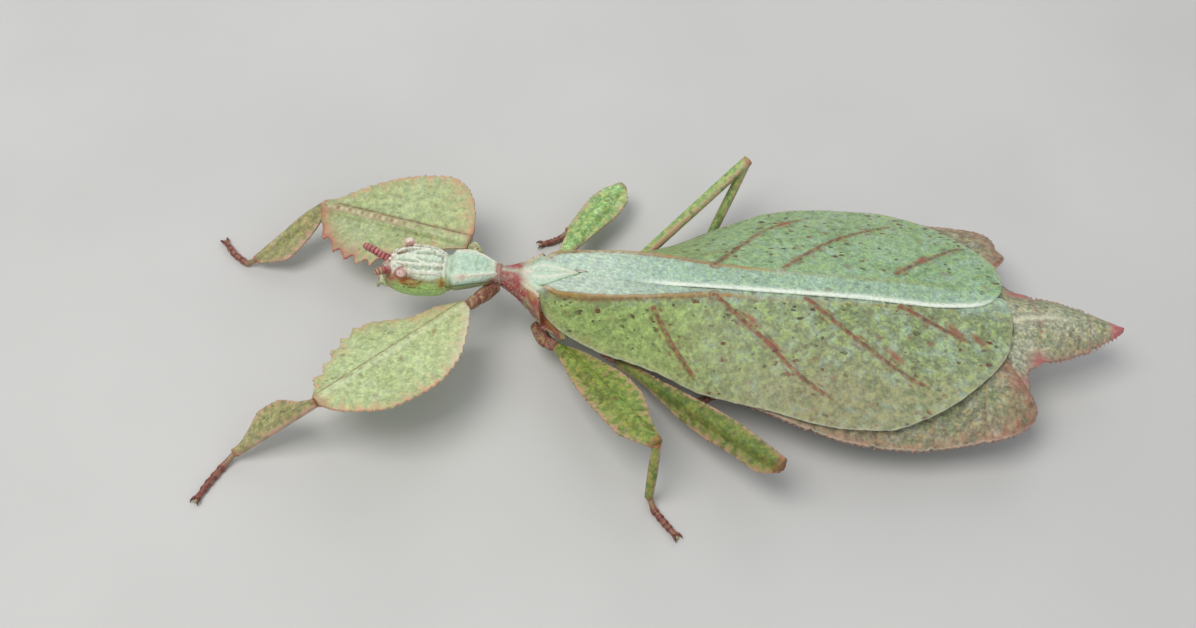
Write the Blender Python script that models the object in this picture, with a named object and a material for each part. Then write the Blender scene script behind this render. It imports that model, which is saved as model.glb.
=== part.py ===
"""Leaf insect: a still, life-size model of a large female that stands on its six feet.

The body lies along X with the head at -X, its left side is at -Y and the floor is z = 0.
All sizes are in millimetres, and the meshes are made in metres.
"""

import math

import bmesh
import bpy
from mathutils import Vector

MM = 0.001
GAP = 0.33
SHEET = 0.55
CUT_CLEARANCE = 0.375
RIM_THICKNESS = 0.4
OBJECT_NAME = "leaf_insect"

# Back line of the closed wings, as (x, height).
WING_RIDGE = [(-30, 12.0), (-22, 12.6), (0, 13.6), (25, 13.4), (42, 12.4), (50, 10.8)]
# Half width of the flat strip along the back, and how hollow the slope beside it is.
BACK_STRIP = [(-24, 3.0), (-20, 3.9), (-9, 4.2), (0, 2.6), (8, 1.0), (43, 0.6)]
SLOPE_HOLLOW = [(-24, 0.1), (-7, 0.15), (4, 0.5), (43, 0.5)]
# Outer edge of the wings: (x, half width) and (x, height).
WING_HALF = [
    (-23.4, 3.6), (-22.2, 5.0), (-20.1, 6.7), (-17.7, 7.6), (-14.3, 8.8), (-11.2, 9.7),
    (-8.2, 10.7), (-5, 12.0), (0, 14.7), (5, 16.6), (10, 18.2), (15, 19.4), (20, 19.9),
    (25, 19.8), (30, 18.2), (34, 16.0), (38, 12.7), (40, 10.7), (42, 8.0), (43.1, 4.6),
]
WING_EDGE_Z = [
    (-23.4, 10.2), (-22.2, 8.6), (-20.1, 7.9), (-17.7, 6.9), (-14.3, 6.1), (-11.2, 5.9),
    (-8.2, 5.9), (-2, 5.9), (3, 6.8), (10, 8.1), (20, 7.8), (25, 8.0), (30, 8.8),
    (34, 9.6), (40, 10.7), (43.1, 11.4),
]
WING_START = -23.1
RIGHT_WING_END = 42.6
LEFT_WING_END = 43.1
# Inner edge of each wing: the right one lies over the left one along the back.
RIGHT_INNER = [
    (-23.1, 1.0), (-20, 0.6), (-18.3, 0.3), (-9.3, -1.3), (-2.3, -1.7), (20, -1.6),
    (31.2, -1.9), (36.3, -1.4), (38.7, -0.8), (40.5, 0.3), (41.8, 2.0), (42.4, 3.6), (42.6, 5.0),
]
LEFT_INNER = [
    (-23.1, -0.8), (-21, -0.2), (-18, 0.9), (-9, 1.3), (40, 1.3), (41.8, 1.2), (42.6, 0.4),
    (42.9, -0.9), (43.1, -2.6),
]
LEFT_WING_PULL_IN = [(41.5, 0.0), (42.4, 0.1), (42.9, 0.4), (43.1, 1.2)]
OVERLAP_STEP = SHEET + GAP
OVERLAP_BLEND = 1.5
OVERLAP_MARGIN = 0.5
# The body stays low under the overlap of the wings, and may rise beyond their edge.
OVERLAP_HALF = 3.0
OVERLAP_FADE = 1.6
WING_END_MARGIN = 0.5
BEYOND_WING_RISE = 4.0
VEIN_HEIGHT = 0.28
VEIN_SNAP = 0.62
INNER_RIM_SHARE = 0.7
WING_ROWS_CLOSER = 0.12
# Veins of a wing as (x, distance from the midline) from root to tip.
MAIN_VEIN = [(-22.6, 2.6), (-20.0, 3.9), (-12.1, 4.1), (-3.7, 3.4), (1.1, 2.8), (14, 2.4), (36, 2.3)]
BRANCH_VEINS = [
    [(-7.3, 5.0), (-3.8, 9.4), (-0.6, 12.6)],
    [(1.9, 2.8), (7.5, 8.1), (13.2, 13.4), (18.6, 17.0)],
    [(13.9, 2.4), (21.5, 8.3), (27.8, 12.6), (30.8, 14.2)],
    [(27.2, 2.3), (34.0, 5.8), (37.6, 7.4)],
]

# Abdomen under the wings.
ABDOMEN_START = -8.7
ABDOMEN_END = 45.1
ABDOMEN_RIDGE = [(-9, 11.3), (0, 11.7), (25, 11.6), (38, 10.8), (43, 10.8), (45.1, 10.87)]
ABDOMEN_HALF = [
    (-8.7, 8.4), (-5, 10.2), (0, 13.0), (5, 15.6), (10, 18.0), (15, 19.8), (20, 20.9),
    (25, 21.2), (30, 21.0), (34, 20.2), (38, 19.5), (41, 18.8), (43, 18.0), (44.4, 16.7),
    (45.1, 15.4),
]
ABDOMEN_EDGE_Z = [
    (-8.7, 5.4), (0, 5.4), (10, 7.2), (15, 6.9), (20, 6.3), (25, 5.8), (34, 5.5), (38, 6.1),
    (43, 6.6), (45.1, 6.2),
]
ABDOMEN_SLOPE_POWER = [(-9, 1.7), (28, 1.7), (42, 2.8)]
LOBE_THICKNESS = 0.9
BELLY_DEPTH = [(-8.7, 5.6), (20, 5.0), (35, 3.2), (45.1, 1.2)]
BELLY_HALF = 8.5
# Rear edge of the abdomen: its corners reach back, and its middle lies under the wings.
LOBE_BULGE = {"left": 1.4, "right": -0.8}
LOBE_BULGE_AT = 14.4
LOBE_BULGE_WIDTH = 2.0
LOBE_BULGE_FROM = 40.0
REAR_HOLLOW = 3.0
REAR_HOLLOW_HALF = 7.0
REAR_HOLLOW_FADE = 6.0
REAR_HOLLOW_FROM = 33.0
BELLY_POWER = 0.7
ROWS_CLOSER_AT_REAR = 0.18
COLUMNS_CLOSER_AT_EDGE = 0.8

# Narrow last segments behind the notch of the abdomen.
TAIL_START = 45.5
TAIL_END = 60.3
TAIL_HALF = [
    (45.5, 9.9), (46.2, 9.2), (47.0, 8.0), (48.2, 6.5), (50.0, 5.6), (52.0, 4.9),
    (53.3, 4.3), (55.0, 3.65), (57.0, 2.4), (59.0, 1.25), (60.3, 0.35),
]
TAIL_RIDGE = [(45.5, 10.8), (50, 10.5), (60.3, 9.0)]
TAIL_EDGE_Z = [(45.5, 8.3), (50, 8.1), (55, 8.2), (60.3, 8.4)]
TAIL_DEPTH = [(45.5, 1.2), (52, 0.8), (60.3, 0.0)]
TAIL_THICKNESS = 0.7
TAIL_SLOPE_POWER = 1.6
TAIL_DRIFT = [(45.5, -1.85), (47.0, -1.5), (48.2, -0.95), (50, -0.6), (55, -0.35), (60.3, 0.0)]
TAIL_HOLLOW_FADE = 6.5
KEEL_HEIGHT = 0.35
KEEL_HALF = 0.9
KEEL_FROM = 44.0
KEEL_FADE = 1.5

# Thorax and head as (x, half width, top, bottom, height of the widest line).
SECTION_POWER = 0.85
PROTHORAX = [
    (-36.05, 2.4, 12.4, 8.8, 10.8), (-35.3, 3.1, 12.8, 8.7, 11.6), (-33.6, 3.0, 12.9, 9.0, 11.8),
    (-31.6, 2.3, 12.7, 9.3, 11.4), (-30.1, 1.5, 12.2, 9.5, 11.0), (-29.45, 1.2, 11.9, 9.5, 10.7),
]
MESOTHORAX = [
    (-29.1, 1.2, 11.8, 8.7, 10.3), (-27.8, 1.7, 11.9, 8.2, 10.1), (-26.2, 2.7, 12.1, 7.3, 9.8),
    (-24.8, 3.9, 12.3, 6.4, 9.4), (-23.5, 5.2, 12.4, 5.5, 8.9), (-22.3, 6.3, 11.4, 5.0, 8.4),
    (-20.6, 7.1, 11.3, 4.7, 7.9), (-19.35, 7.1, 11.3, 4.6, 7.4),
]
METATHORAX = [
    (-19.0, 6.9, 11.3, 4.6, 7.0), (-16.5, 6.9, 11.2, 4.4, 6.2), (-13.5, 7.3, 11.2, 4.4, 5.8),
    (-11, 7.9, 11.2, 4.5, 5.7), (-9.05, 8.2, 11.2, 4.7, 5.6),
]
HEAD = [
    (-45.7, 1.0, 11.4, 8.9, 10.2), (-45.2, 1.9, 12.0, 8.2, 10.3), (-44.2, 2.7, 12.7, 7.5, 10.6),
    (-42.8, 3.25, 13.2, 7.0, 10.9), (-41, 3.45, 13.45, 6.8, 10.9), (-38.8, 3.35, 13.35, 6.9, 10.8),
    (-37.2, 2.85, 13.0, 7.3, 10.5), (-36.4, 2.3, 12.5, 8.0, 10.3),
]
# The head and the shield are turned a little to the right of the body's middle line.
BODY_ASIDE = [(-46, 0.25), (-41, 0.3), (-36, 0.2), (-32, 0.5), (-29.4, 0.5), (-27.5, 0.2), (-25.5, 0.0)]
EYE_CENTRES = {"eye_left": (-42.65, -2.4, 12.85), "eye_right": (-42.2, 3.25, 13.05)}
EYE_RADIUS = 0.74
ANTENNA_RADIUS = 0.52
ANTENNA_STEPS = 12
ANTENNA_THINNING = 0.25
ANTENNA_SWELL = (0.9, 1.12)
ANTENNAE = {
    "antenna_left": [(-44.6, -1.2, 11.9), (-45.2, -1.8, 12.5), (-45.8, -2.3, 12.9), (-46.5, -2.7, 12.8)],
    "antenna_right": [(-44.8, 0.9, 11.9), (-46.0, 1.1, 12.4), (-47.3, 1.65, 12.85), (-48.8, 2.5, 12.7)],
}
PALP_RADIUS = 0.42
# Palp as (distance ahead, distance aside, height, share of its radius) from the centre of the jaws.
PALP_LINE = [(0.0, 0.8, 0.0, 1.0), (0.9, 1.2, 0.1, 1.0), (1.4, 1.3, -0.8, 0.7)]
JAW_SIZE = (1.4, 1.5, 1.2)
JAW_CENTRE = (-45.2, 0.25, 8.6)

# Legs: points of the joints, the widths of the lobes on both sides of the femur and tibia
# as (share of the length, width), and the roll of the lobes about the leg.
LEGS = {
    "fore_left": {
        "coxa": [(-29.7, -0.4, 9.1), (-31.2, -2.2, 9.1), (-33.0, -4.6, 9.6)],
        "hip": (-33.5, -5.0, 9.8), "knee": (-51.5, -22.3, 9.0), "ankle": (-62.6, -26.3, 1.3),
        "foot": [(-64.0, -28.0), (-65.4, -30.8), (-66.4, -33.3)],
        "roll": 15, "coxa_radius": 1.0, "teeth": "rear",
        "front": [(0, 1.1), (0.09, 3.8), (0.29, 8.0), (0.48, 9.5), (0.71, 8.7), (0.88, 5.8),
                  (0.96, 3.4), (1, 1.0)],
        "rear": [(0, 1.2), (0.12, 3.0), (0.27, 4.1), (0.38, 6.4), (0.47, 8.2), (0.57, 7.8), (0.7, 6.6),
                 (0.82, 4.5), (0.93, 2.9), (1, 1.0)],
        "tibia_front": [(0, 0.7), (0.5, 0.7), (1, 0.6)],
        "tibia_rear": [(0, 0.6), (0.15, 1.4), (0.45, 3.9), (0.63, 4.0), (0.78, 2.4), (0.92, 1.0), (1, 0.7)],
        "tibia_roll": 0,
    },
    "fore_right": {
        "coxa": [(-30.0, 0.9, 9.0), (-31.9, 3.7, 8.8), (-33.7, 6.6, 9.3)],
        "hip": (-34.2, 7.2, 9.4), "knee": (-57.0, 14.4, 6.8), "ankle": (-66.6, 7.5, 1.3),
        "foot": [(-68.0, 7.4), (-70.2, 9.0), (-72.1, 11.4)],
        "roll": -15, "coxa_radius": 1.0, "teeth": "front",
        "front": [(0, 1.2), (0.2, 2.6), (0.38, 4.0), (0.5, 5.8), (0.62, 6.8), (0.75, 6.4),
                  (0.86, 5.0), (0.95, 3.2),
                  (1, 1.0)],
        "rear": [(0, 2.0), (0.05, 5.2), (0.11, 7.5), (0.19, 9.1), (0.28, 9.7), (0.4, 9.2), (0.51, 8.4),
                 (0.62, 7.2), (0.73, 5.5), (0.84, 3.5), (0.93, 1.7), (1, 1.0)],
        "tibia_front": [(0, 0.6), (0.12, 1.9), (0.36, 3.1), (0.65, 3.7), (0.88, 2.0), (1, 0.7)],
        "tibia_rear": [(0, 0.6), (0.27, 1.1), (0.6, 0.8), (1, 0.6)],
        "tibia_roll": 0,
    },
    "mid_left": {
        "coxa": [(-23.6, -3.4, 4.4), (-22.2, -6.0, 4.5), (-20.6, -7.6, 5.3)],
        "hip": (-20.2, -8.2, 5.8), "knee": (-6.1, -25.8, 10.0), "ankle": (-6.4, -28.6, 1.3),
        "foot": [(-5.6, -30.2), (-4.0, -32.2), (-2.6, -33.8)],
        "roll": 0, "coxa_radius": 1.0, "teeth": "none",
        "front": [(0, 0.8), (0.1, 2.0), (0.28, 3.3), (0.47, 4.2), (0.6, 4.1), (0.71, 3.3),
                  (0.85, 1.9), (1, 0.9)],
        "rear": [(0, 0.8), (0.12, 1.3), (0.31, 2.3), (0.5, 2.8), (0.78, 3.0), (0.9, 2.0), (1, 0.9)],
        "tibia_front": [(0, 0.6), (0.5, 0.8), (1, 0.6)],
        "tibia_rear": [(0, 0.6), (0.5, 0.8), (1, 0.6)],
        "tibia_roll": 0,
    },
    "mid_right": {
        "coxa": [(-23.6, 3.4, 4.4), (-22.4, 6.0, 4.4), (-21.4, 7.6, 4.9)],
        "hip": (-21.2, 8.2, 5.2), "knee": (-12.5, 25.3, 4.0), "ankle": (-20.4, 17.6, 1.2),
        "foot": [(-21.4, 16.8), (-22.8, 15.9), (-24.2, 15.4)],
        "roll": 0, "coxa_radius": 1.0, "teeth": "none",
        "front": [(0, 0.8), (0.24, 1.7), (0.44, 2.6), (0.71, 2.8), (0.88, 2.2), (1, 0.9)],
        "rear": [(0, 0.8), (0.2, 1.0), (0.35, 1.5), (0.52, 2.0), (0.71, 2.6), (0.86, 2.4), (1, 0.9)],
        "tibia_front": [(0, 0.6), (0.5, 0.7), (1, 0.6)],
        "tibia_rear": [(0, 0.6), (0.5, 0.7), (1, 0.6)],
        "tibia_roll": 0,
    },
    "hind_left": {
        "coxa": [(-14.6, -4.2, 3.4), (-13.4, -6.2, 3.2), (-12.0, -7.6, 3.3)],
        "hip": (-11.4, -8.2, 3.4), "knee": (10.6, -26.9, 8.5), "ankle": (-1.3, -13.2, 1.3),
        "foot": [(0.6, -11.8), (3.8, -10.2), (7.2, -9.0)],
        "roll": 40, "coxa_radius": 0.95, "teeth": "none",
        "front": [(0, 0.7), (0.2, 0.9), (0.44, 1.4), (0.57, 1.7), (0.72, 1.8), (0.86, 1.5), (1, 1.1)],
        "rear": [(0, 0.7), (0.17, 0.9), (0.32, 1.6), (0.46, 2.3), (0.59, 2.5), (0.75, 2.4),
                 (0.89, 2.6), (1, 1.1)],
        "tibia_front": [(0, 0.6), (0.5, 0.7), (1, 0.6)],
        "tibia_rear": [(0, 0.6), (0.5, 0.6), (1, 0.6)],
        "tibia_roll": 0,
    },
    "hind_right": {
        "coxa": [(-14.6, 4.2, 3.4), (-13.4, 6.2, 3.2), (-12.0, 7.6, 3.3)],
        "hip": (-11.4, 8.2, 3.4), "knee": (6.3, 25.1, 12.0), "ankle": (0.5, 15.4, 1.3),
        "foot": [(2.2, 14.4), (5.2, 12.6), (8.6, 11.0)],
        "roll": -40, "coxa_radius": 0.95, "teeth": "none",
        "front": [(0, 0.7), (0.17, 0.9), (0.4, 1.3), (0.6, 1.6), (0.8, 1.6), (1, 0.9)],
        "rear": [(0, 0.7), (0.3, 0.8), (0.6, 1.0), (0.85, 1.2), (1, 0.9)],
        "tibia_front": [(0, 0.6), (0.5, 0.6), (1, 0.6)],
        "tibia_rear": [(0, 0.6), (0.5, 0.6), (1, 0.6)],
        "tibia_roll": 0,
    },
}
SHAFT_HALF = 0.85
SHAFT_LIFT = 0.55
SHAFT_SHARE = 0.8
SHAFT_SPREAD = 1.35
LOBE_COLUMNS = (0.0, 0.3, 0.65)
FORE_FEMUR_ROWS = 22
FEMUR_ROWS = 10
TIBIA_ROWS = 6
COXA_SWELL = (1.0, 1.05, 0.85)
TOOTH_FROM = 0.5
TOOTH_TO = 0.95
TOOTH_LENGTH = 1.1
TARSUS_RADIUS = 0.5
TARSUS_HEIGHT = 0.42
TARSUS_JOINTS = [0.04, 0.2, 0.36, 0.4, 0.52, 0.56, 0.67, 0.71, 0.8, 0.84, 1.0]
TARSUS_SWELL = [0.8, 0.85, 1.15, 0.85, 1.15, 0.85, 1.15, 0.85, 1.1, 0.8, 0.9]
# Claw as (share of its length ahead, distance aside, height, radius) from its sunk root to its tip.
CLAW_LENGTH = 0.9
CLAW_ROOT = (-0.39, 0.16, 0.0, 0.3)
CLAW_BEND = (0.36, 0.46, 0.12, 0.225)
CLAW_TIP = (0.86, 0.58, -0.12, 0.12)
CLAW_FLOOR = 0.05


def smooth(stations, x):
    """Returns the value at x of a monotone cubic curve through (x, value) stations."""
    xs = [s[0] for s in stations]
    ys = [s[1] for s in stations]
    x = min(max(x, xs[0]), xs[-1])
    i = max(j for j in range(len(xs) - 1) if xs[j] <= x)
    steps = [(ys[j + 1] - ys[j]) / (xs[j + 1] - xs[j]) for j in range(len(xs) - 1)]

    def slope(j):
        if j == 0:
            return steps[0]
        if j == len(steps):
            return steps[-1]
        if steps[j - 1] * steps[j] <= 0:
            return 0.0
        return 2 * steps[j - 1] * steps[j] / (steps[j - 1] + steps[j])

    width = xs[i + 1] - xs[i]
    t = (x - xs[i]) / width
    start = (1 + 2 * t) * (1 - t) ** 2 * ys[i] + t * (1 - t) ** 2 * width * slope(i)
    end = t * t * (3 - 2 * t) * ys[i + 1] + t * t * (t - 1) * width * slope(i + 1)
    return start + end


def ease(t):
    """Smooth step from 0 to 1."""
    t = min(max(t, 0.0), 1.0)
    return t * t * (3 - 2 * t)


def wing_top(x, y):
    """Upper surface of the closed wings."""
    ridge = smooth(WING_RIDGE, x)
    strip = smooth(BACK_STRIP, x)
    half = smooth(WING_HALF, x)
    hollow = smooth(SLOPE_HOLLOW, x)
    t = max(0.0, (abs(y) - strip) / max(half - strip, 1.0))
    return ridge - (ridge - smooth(WING_EDGE_Z, x)) * ((1 - hollow) * t + hollow * t * t)


def under_wings(x, y):
    """Highest level that the body may reach below the wings."""
    if x < WING_START - GAP / 2 or x > LEFT_WING_END + WING_END_MARGIN:
        return math.inf
    overlap = OVERLAP_STEP * (1 - ease((abs(y) - OVERLAP_HALF) / OVERLAP_FADE))
    outside = max(0.0, abs(y) - smooth(WING_HALF, x) - GAP)
    return wing_top(x, y) - SHEET - GAP - overlap + BEYOND_WING_RISE * outside


def make_material(name, colour, roughness):
    """A plain surface with the colour of the part."""
    material = bpy.data.materials.new(name)
    material.use_nodes = True
    shader = material.node_tree.nodes["Principled BSDF"]
    shader.inputs["Base Color"].default_value = (*colour, 1)
    shader.inputs["Roughness"].default_value = roughness
    shader.inputs["Metallic"].default_value = 0.0
    material.diffuse_color = (*colour, 1)
    return material


def make_part(name, mesh_in_mm, root, material):
    """Turns a bmesh in millimetres into an object whose origin is at its root."""
    root = Vector(root)
    bmesh.ops.triangulate(mesh_in_mm, faces=[f for f in mesh_in_mm.faces if len(f.verts) > 3])
    bmesh.ops.recalc_face_normals(mesh_in_mm, faces=mesh_in_mm.faces)
    if mesh_in_mm.calc_volume(signed=True) < 0:
        bmesh.ops.reverse_faces(mesh_in_mm, faces=mesh_in_mm.faces)
    for vertex in mesh_in_mm.verts:
        vertex.co = (vertex.co - root) * MM
    mesh = bpy.data.meshes.new(name)
    mesh_in_mm.to_mesh(mesh)
    mesh_in_mm.free()
    mesh.materials.append(material)
    mesh.shade_smooth()
    mesh.set_sharp_from_angle(angle=math.radians(40))
    part = bpy.data.objects.new(name, mesh)
    part.location = root * MM
    bpy.data.collections[OBJECT_NAME].objects.link(part)
    return part


def loft(rings):
    """Closed surface through rings of equal length, with flat ends."""
    made = bmesh.new()
    rows = [[made.verts.new(p) for p in ring] for ring in rings]
    count = len(rows[0])
    for a, b in zip(rows, rows[1:]):
        for j in range(count):
            k = (j + 1) % count
            made.faces.new((a[j], a[k], b[k]))
            made.faces.new((a[j], b[k], b[j]))
    for row in (rows[0], rows[-1]):
        middle = made.verts.new(sum((v.co for v in row), Vector()) / count)
        for j in range(count):
            made.faces.new((row[j], row[(j + 1) % count], middle))
    return made


def slab(tops, bottoms):
    """Closed thin body between two grids of points, split alike on both faces."""
    made = bmesh.new()
    upper = [[made.verts.new(p) for p in row] for row in tops]
    lower = [[made.verts.new(p) for p in row] for row in bottoms]
    rows = len(upper)
    count = len(upper[0])
    for i in range(rows - 1):
        for j in range(count - 1):
            for grid in (upper, lower):
                a, b = grid[i][j], grid[i][j + 1]
                c, d = grid[i + 1][j + 1], grid[i + 1][j]
                made.faces.new((a, b, c))
                made.faces.new((a, c, d))
        for j in (0, count - 1):
            made.faces.new((upper[i][j], upper[i + 1][j], lower[i + 1][j], lower[i][j]))
    for i in (0, rows - 1):
        for j in range(count - 1):
            made.faces.new((upper[i][j], upper[i][j + 1], lower[i][j + 1], lower[i][j]))
    return made


def tube(points, radii, sides, floor=None):
    """Round limb along points, flattened where it would pass below the floor."""
    points = [Vector(p) for p in points]
    rings = []
    for i, point in enumerate(points):
        ahead = points[min(i + 1, len(points) - 1)] - points[max(i - 1, 0)]
        ahead.normalize()
        aside = ahead.cross(Vector((0, 0, 1))).normalized()
        above = aside.cross(ahead)
        ring = []
        for k in range(sides):
            angle = 2 * math.pi * (k + 0.5) / sides
            spot = point + radii[i] * (math.cos(angle) * aside + math.sin(angle) * above)
            if floor is not None:
                spot.z = max(spot.z, floor)
            ring.append(spot)
        rings.append(ring)
    return loft(rings)


def largest_shell(part):
    """Keeps only the largest closed surface of a part."""
    made = bmesh.new()
    made.from_mesh(part.data)
    made.verts.ensure_lookup_table()
    left = set(made.verts)
    shells = []
    while left:
        stack = [left.pop()]
        shell = set(stack)
        while stack:
            for edge in stack.pop().link_edges:
                for vertex in edge.verts:
                    if vertex not in shell:
                        shell.add(vertex)
                        stack.append(vertex)
        left -= shell
        shells.append(shell)
    shells.sort(key=len)
    for shell in shells[:-1]:
        bmesh.ops.delete(made, geom=list(shell), context="VERTS")
    bmesh.ops.triangulate(made, faces=[f for f in made.faces if len(f.verts) > 3])
    made.to_mesh(part.data)
    made.free()


def apply_boolean(part, others, operation):
    """Joins or cuts a part with other objects, which are then removed."""
    tools = bpy.data.collections.new("tools")
    for other in others:
        tools.objects.link(other)
    change = part.modifiers.new("change", "BOOLEAN")
    change.operation = operation
    change.operand_type = "COLLECTION"
    change.collection = tools
    change.solver = "EXACT"
    bpy.context.view_layer.update()
    evaluated = part.evaluated_get(bpy.context.evaluated_depsgraph_get())
    mesh = bpy.data.meshes.new_from_object(evaluated)
    part.modifiers.remove(change)
    old = part.data
    part.data = mesh
    bpy.data.meshes.remove(old)
    mesh.name = part.name
    for other in others:
        bpy.data.objects.remove(other)
    bpy.data.collections.remove(tools)
    largest_shell(part)


def swollen_copy(part, distance):
    """A cutter: the part with its surface moved outward."""
    made = bmesh.new()
    made.from_mesh(part.data)
    made.normal_update()
    moves = [v.normal.copy() for v in made.verts]
    for vertex, move in zip(made.verts, moves):
        vertex.co += move * distance * MM
    mesh = bpy.data.meshes.new("cutter")
    made.to_mesh(mesh)
    made.free()
    cutter = bpy.data.objects.new("cutter_" + part.name, mesh)
    cutter.location = part.location
    cutter.hide_render = True
    cutter.display_type = "WIRE"
    bpy.data.collections["cutters"].objects.link(cutter)
    return cutter


def cut_clear(part, neighbours):
    """Cuts a part back from its neighbours, so that they meet with a thin gap."""
    cutters = [swollen_copy(n, CUT_CLEARANCE) for n in neighbours]
    for cutter in cutters:
        bpy.data.collections["cutters"].objects.unlink(cutter)
    for cutter in cutters:
        apply_boolean(part, [cutter], "DIFFERENCE")


def body_section(x, half, top, bottom, waist, sides=20):
    """One ring of the head or thorax, kept below the wings."""
    aside = smooth(BODY_ASIDE, x)
    ring = []
    for k in range(sides):
        angle = 2 * math.pi * (k + 0.5) / sides
        y = aside + half * math.copysign(abs(math.cos(angle)) ** SECTION_POWER, math.cos(angle))
        rise = abs(math.sin(angle)) ** SECTION_POWER
        z = min(waist + rise * (top - waist), under_wings(x, y))
        if math.sin(angle) < 0:
            z = min(waist - rise * (waist - bottom), z - RIM_THICKNESS)
        ring.append(Vector((x, y, z)))
    return ring


def add_body_length(name, stations, material, steps=2):
    """Lofts a length of the body through its stations."""
    columns = [[(s[0], s[k]) for s in stations] for k in range(1, 5)]
    spots = []
    for a, b in zip(stations, stations[1:]):
        spots += [a[0] + (b[0] - a[0]) * n / steps for n in range(steps)]
    spots.append(stations[-1][0])
    rings = [body_section(x, *(smooth(c, x) for c in columns)) for x in spots]
    middle = (stations[0][0] + stations[-1][0]) / 2
    return make_part(name, loft(rings), (middle, 0, stations[0][4]), material)


def abdomen_top(x, y):
    """Upper surface of the abdomen."""
    ridge = smooth(ABDOMEN_RIDGE, x)
    t = abs(y) / smooth(ABDOMEN_HALF, x)
    drop = (ridge - smooth(ABDOMEN_EDGE_Z, x)) * t ** smooth(ABDOMEN_SLOPE_POWER, x)
    return min(ridge - drop, under_wings(x, y))


def rear_shift(y):
    """How far the joint between abdomen and tail lies behind its mean place."""
    bulge = LOBE_BULGE["left" if y < 0 else "right"]
    bulge *= math.exp(-(((abs(y) - LOBE_BULGE_AT) / LOBE_BULGE_WIDTH) ** 2))
    hollow = REAR_HOLLOW * (1 - ease((abs(y) - REAR_HOLLOW_HALF) / REAR_HOLLOW_FADE))
    return bulge, hollow


def add_abdomen(material):
    """Broad leaf-like abdomen: a thick middle and two thin lobes."""
    rows, columns = 26, 16
    tops, bottoms = [], []
    for i in range(rows + 1):
        u = i / rows
        share = u + ROWS_CLOSER_AT_REAR * (u - u ** 4)
        x = ABDOMEN_START + (ABDOMEN_END - ABDOMEN_START) * share
        half = smooth(ABDOMEN_HALF, x)
        top_row, bottom_row = [], []
        for j in range(columns + 1):
            v = 2 * j / columns - 1
            bend = math.pi / 2 * COLUMNS_CLOSER_AT_EDGE
            y = half * math.sin(v * bend) / math.sin(bend)
            bulge, hollow = rear_shift(y)
            place = x + bulge * ease((x - LOBE_BULGE_FROM) / (ABDOMEN_END - LOBE_BULGE_FROM))
            place -= hollow * ease((x - REAR_HOLLOW_FROM) / (ABDOMEN_END - REAR_HOLLOW_FROM))
            z = min(abdomen_top(x, y), under_wings(place, y))
            round_belly = max(0.0, 1 - (y / BELLY_HALF) ** 2) ** BELLY_POWER
            depth = LOBE_THICKNESS + smooth(BELLY_DEPTH, x) * round_belly
            top_row.append(Vector((place, y, z)))
            bottom_row.append(Vector((place, y, z - depth)))
        tops.append(top_row)
        bottoms.append(bottom_row)
    return make_part("abdomen", slab(tops, bottoms), (18, 0, 8), material)


def add_tail(material):
    """Last segments of the abdomen, a narrow leaf tip with a keel."""
    rows, columns = 14, 10
    tops, bottoms = [], []
    for i in range(rows + 1):
        x = TAIL_START + (TAIL_END - TAIL_START) * i / rows
        half = smooth(TAIL_HALF, x)
        ridge, edge = smooth(TAIL_RIDGE, x), smooth(TAIL_EDGE_Z, x)
        top_row, bottom_row = [], []
        for j in range(columns + 1):
            y = half * (2 * j / columns - 1)
            t = abs(y) / half
            aside = y + smooth(TAIL_DRIFT, x)
            bulge, hollow = rear_shift(aside)
            place = x + (bulge - hollow) * (1 - ease((x - TAIL_START) / TAIL_HOLLOW_FADE))
            keel = KEEL_HEIGHT * max(0.0, 1 - abs(y) / KEEL_HALF) * (1 - i / rows)
            keel *= ease((place - KEEL_FROM) / KEEL_FADE)
            z = min(ridge - (ridge - edge) * t ** TAIL_SLOPE_POWER, under_wings(place, aside))
            depth = TAIL_THICKNESS + smooth(TAIL_DEPTH, x) * (1 - t * t)
            top_row.append(Vector((place, aside, z + keel)))
            bottom_row.append(Vector((place, aside, z - depth)))
        tops.append(top_row)
        bottoms.append(bottom_row)
    return make_part("abdomen_tip", slab(tops, bottoms), (TAIL_START, 0, 10), material)


def nearest_on_vein(veins, x, y):
    """Nearest point on any vein and its distance."""
    best = (math.inf, x, y)
    for vein in veins:
        for (ax, ay), (bx, by) in zip(vein, vein[1:]):
            dx, dy = bx - ax, by - ay
            t = min(max(((x - ax) * dx + (y - ay) * dy) / (dx * dx + dy * dy), 0.0), 1.0)
            px, py = ax + t * dx, ay + t * dy
            distance = math.hypot(x - px, y - py)
            if distance < best[0]:
                best = (distance, px, py)
    return best


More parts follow.
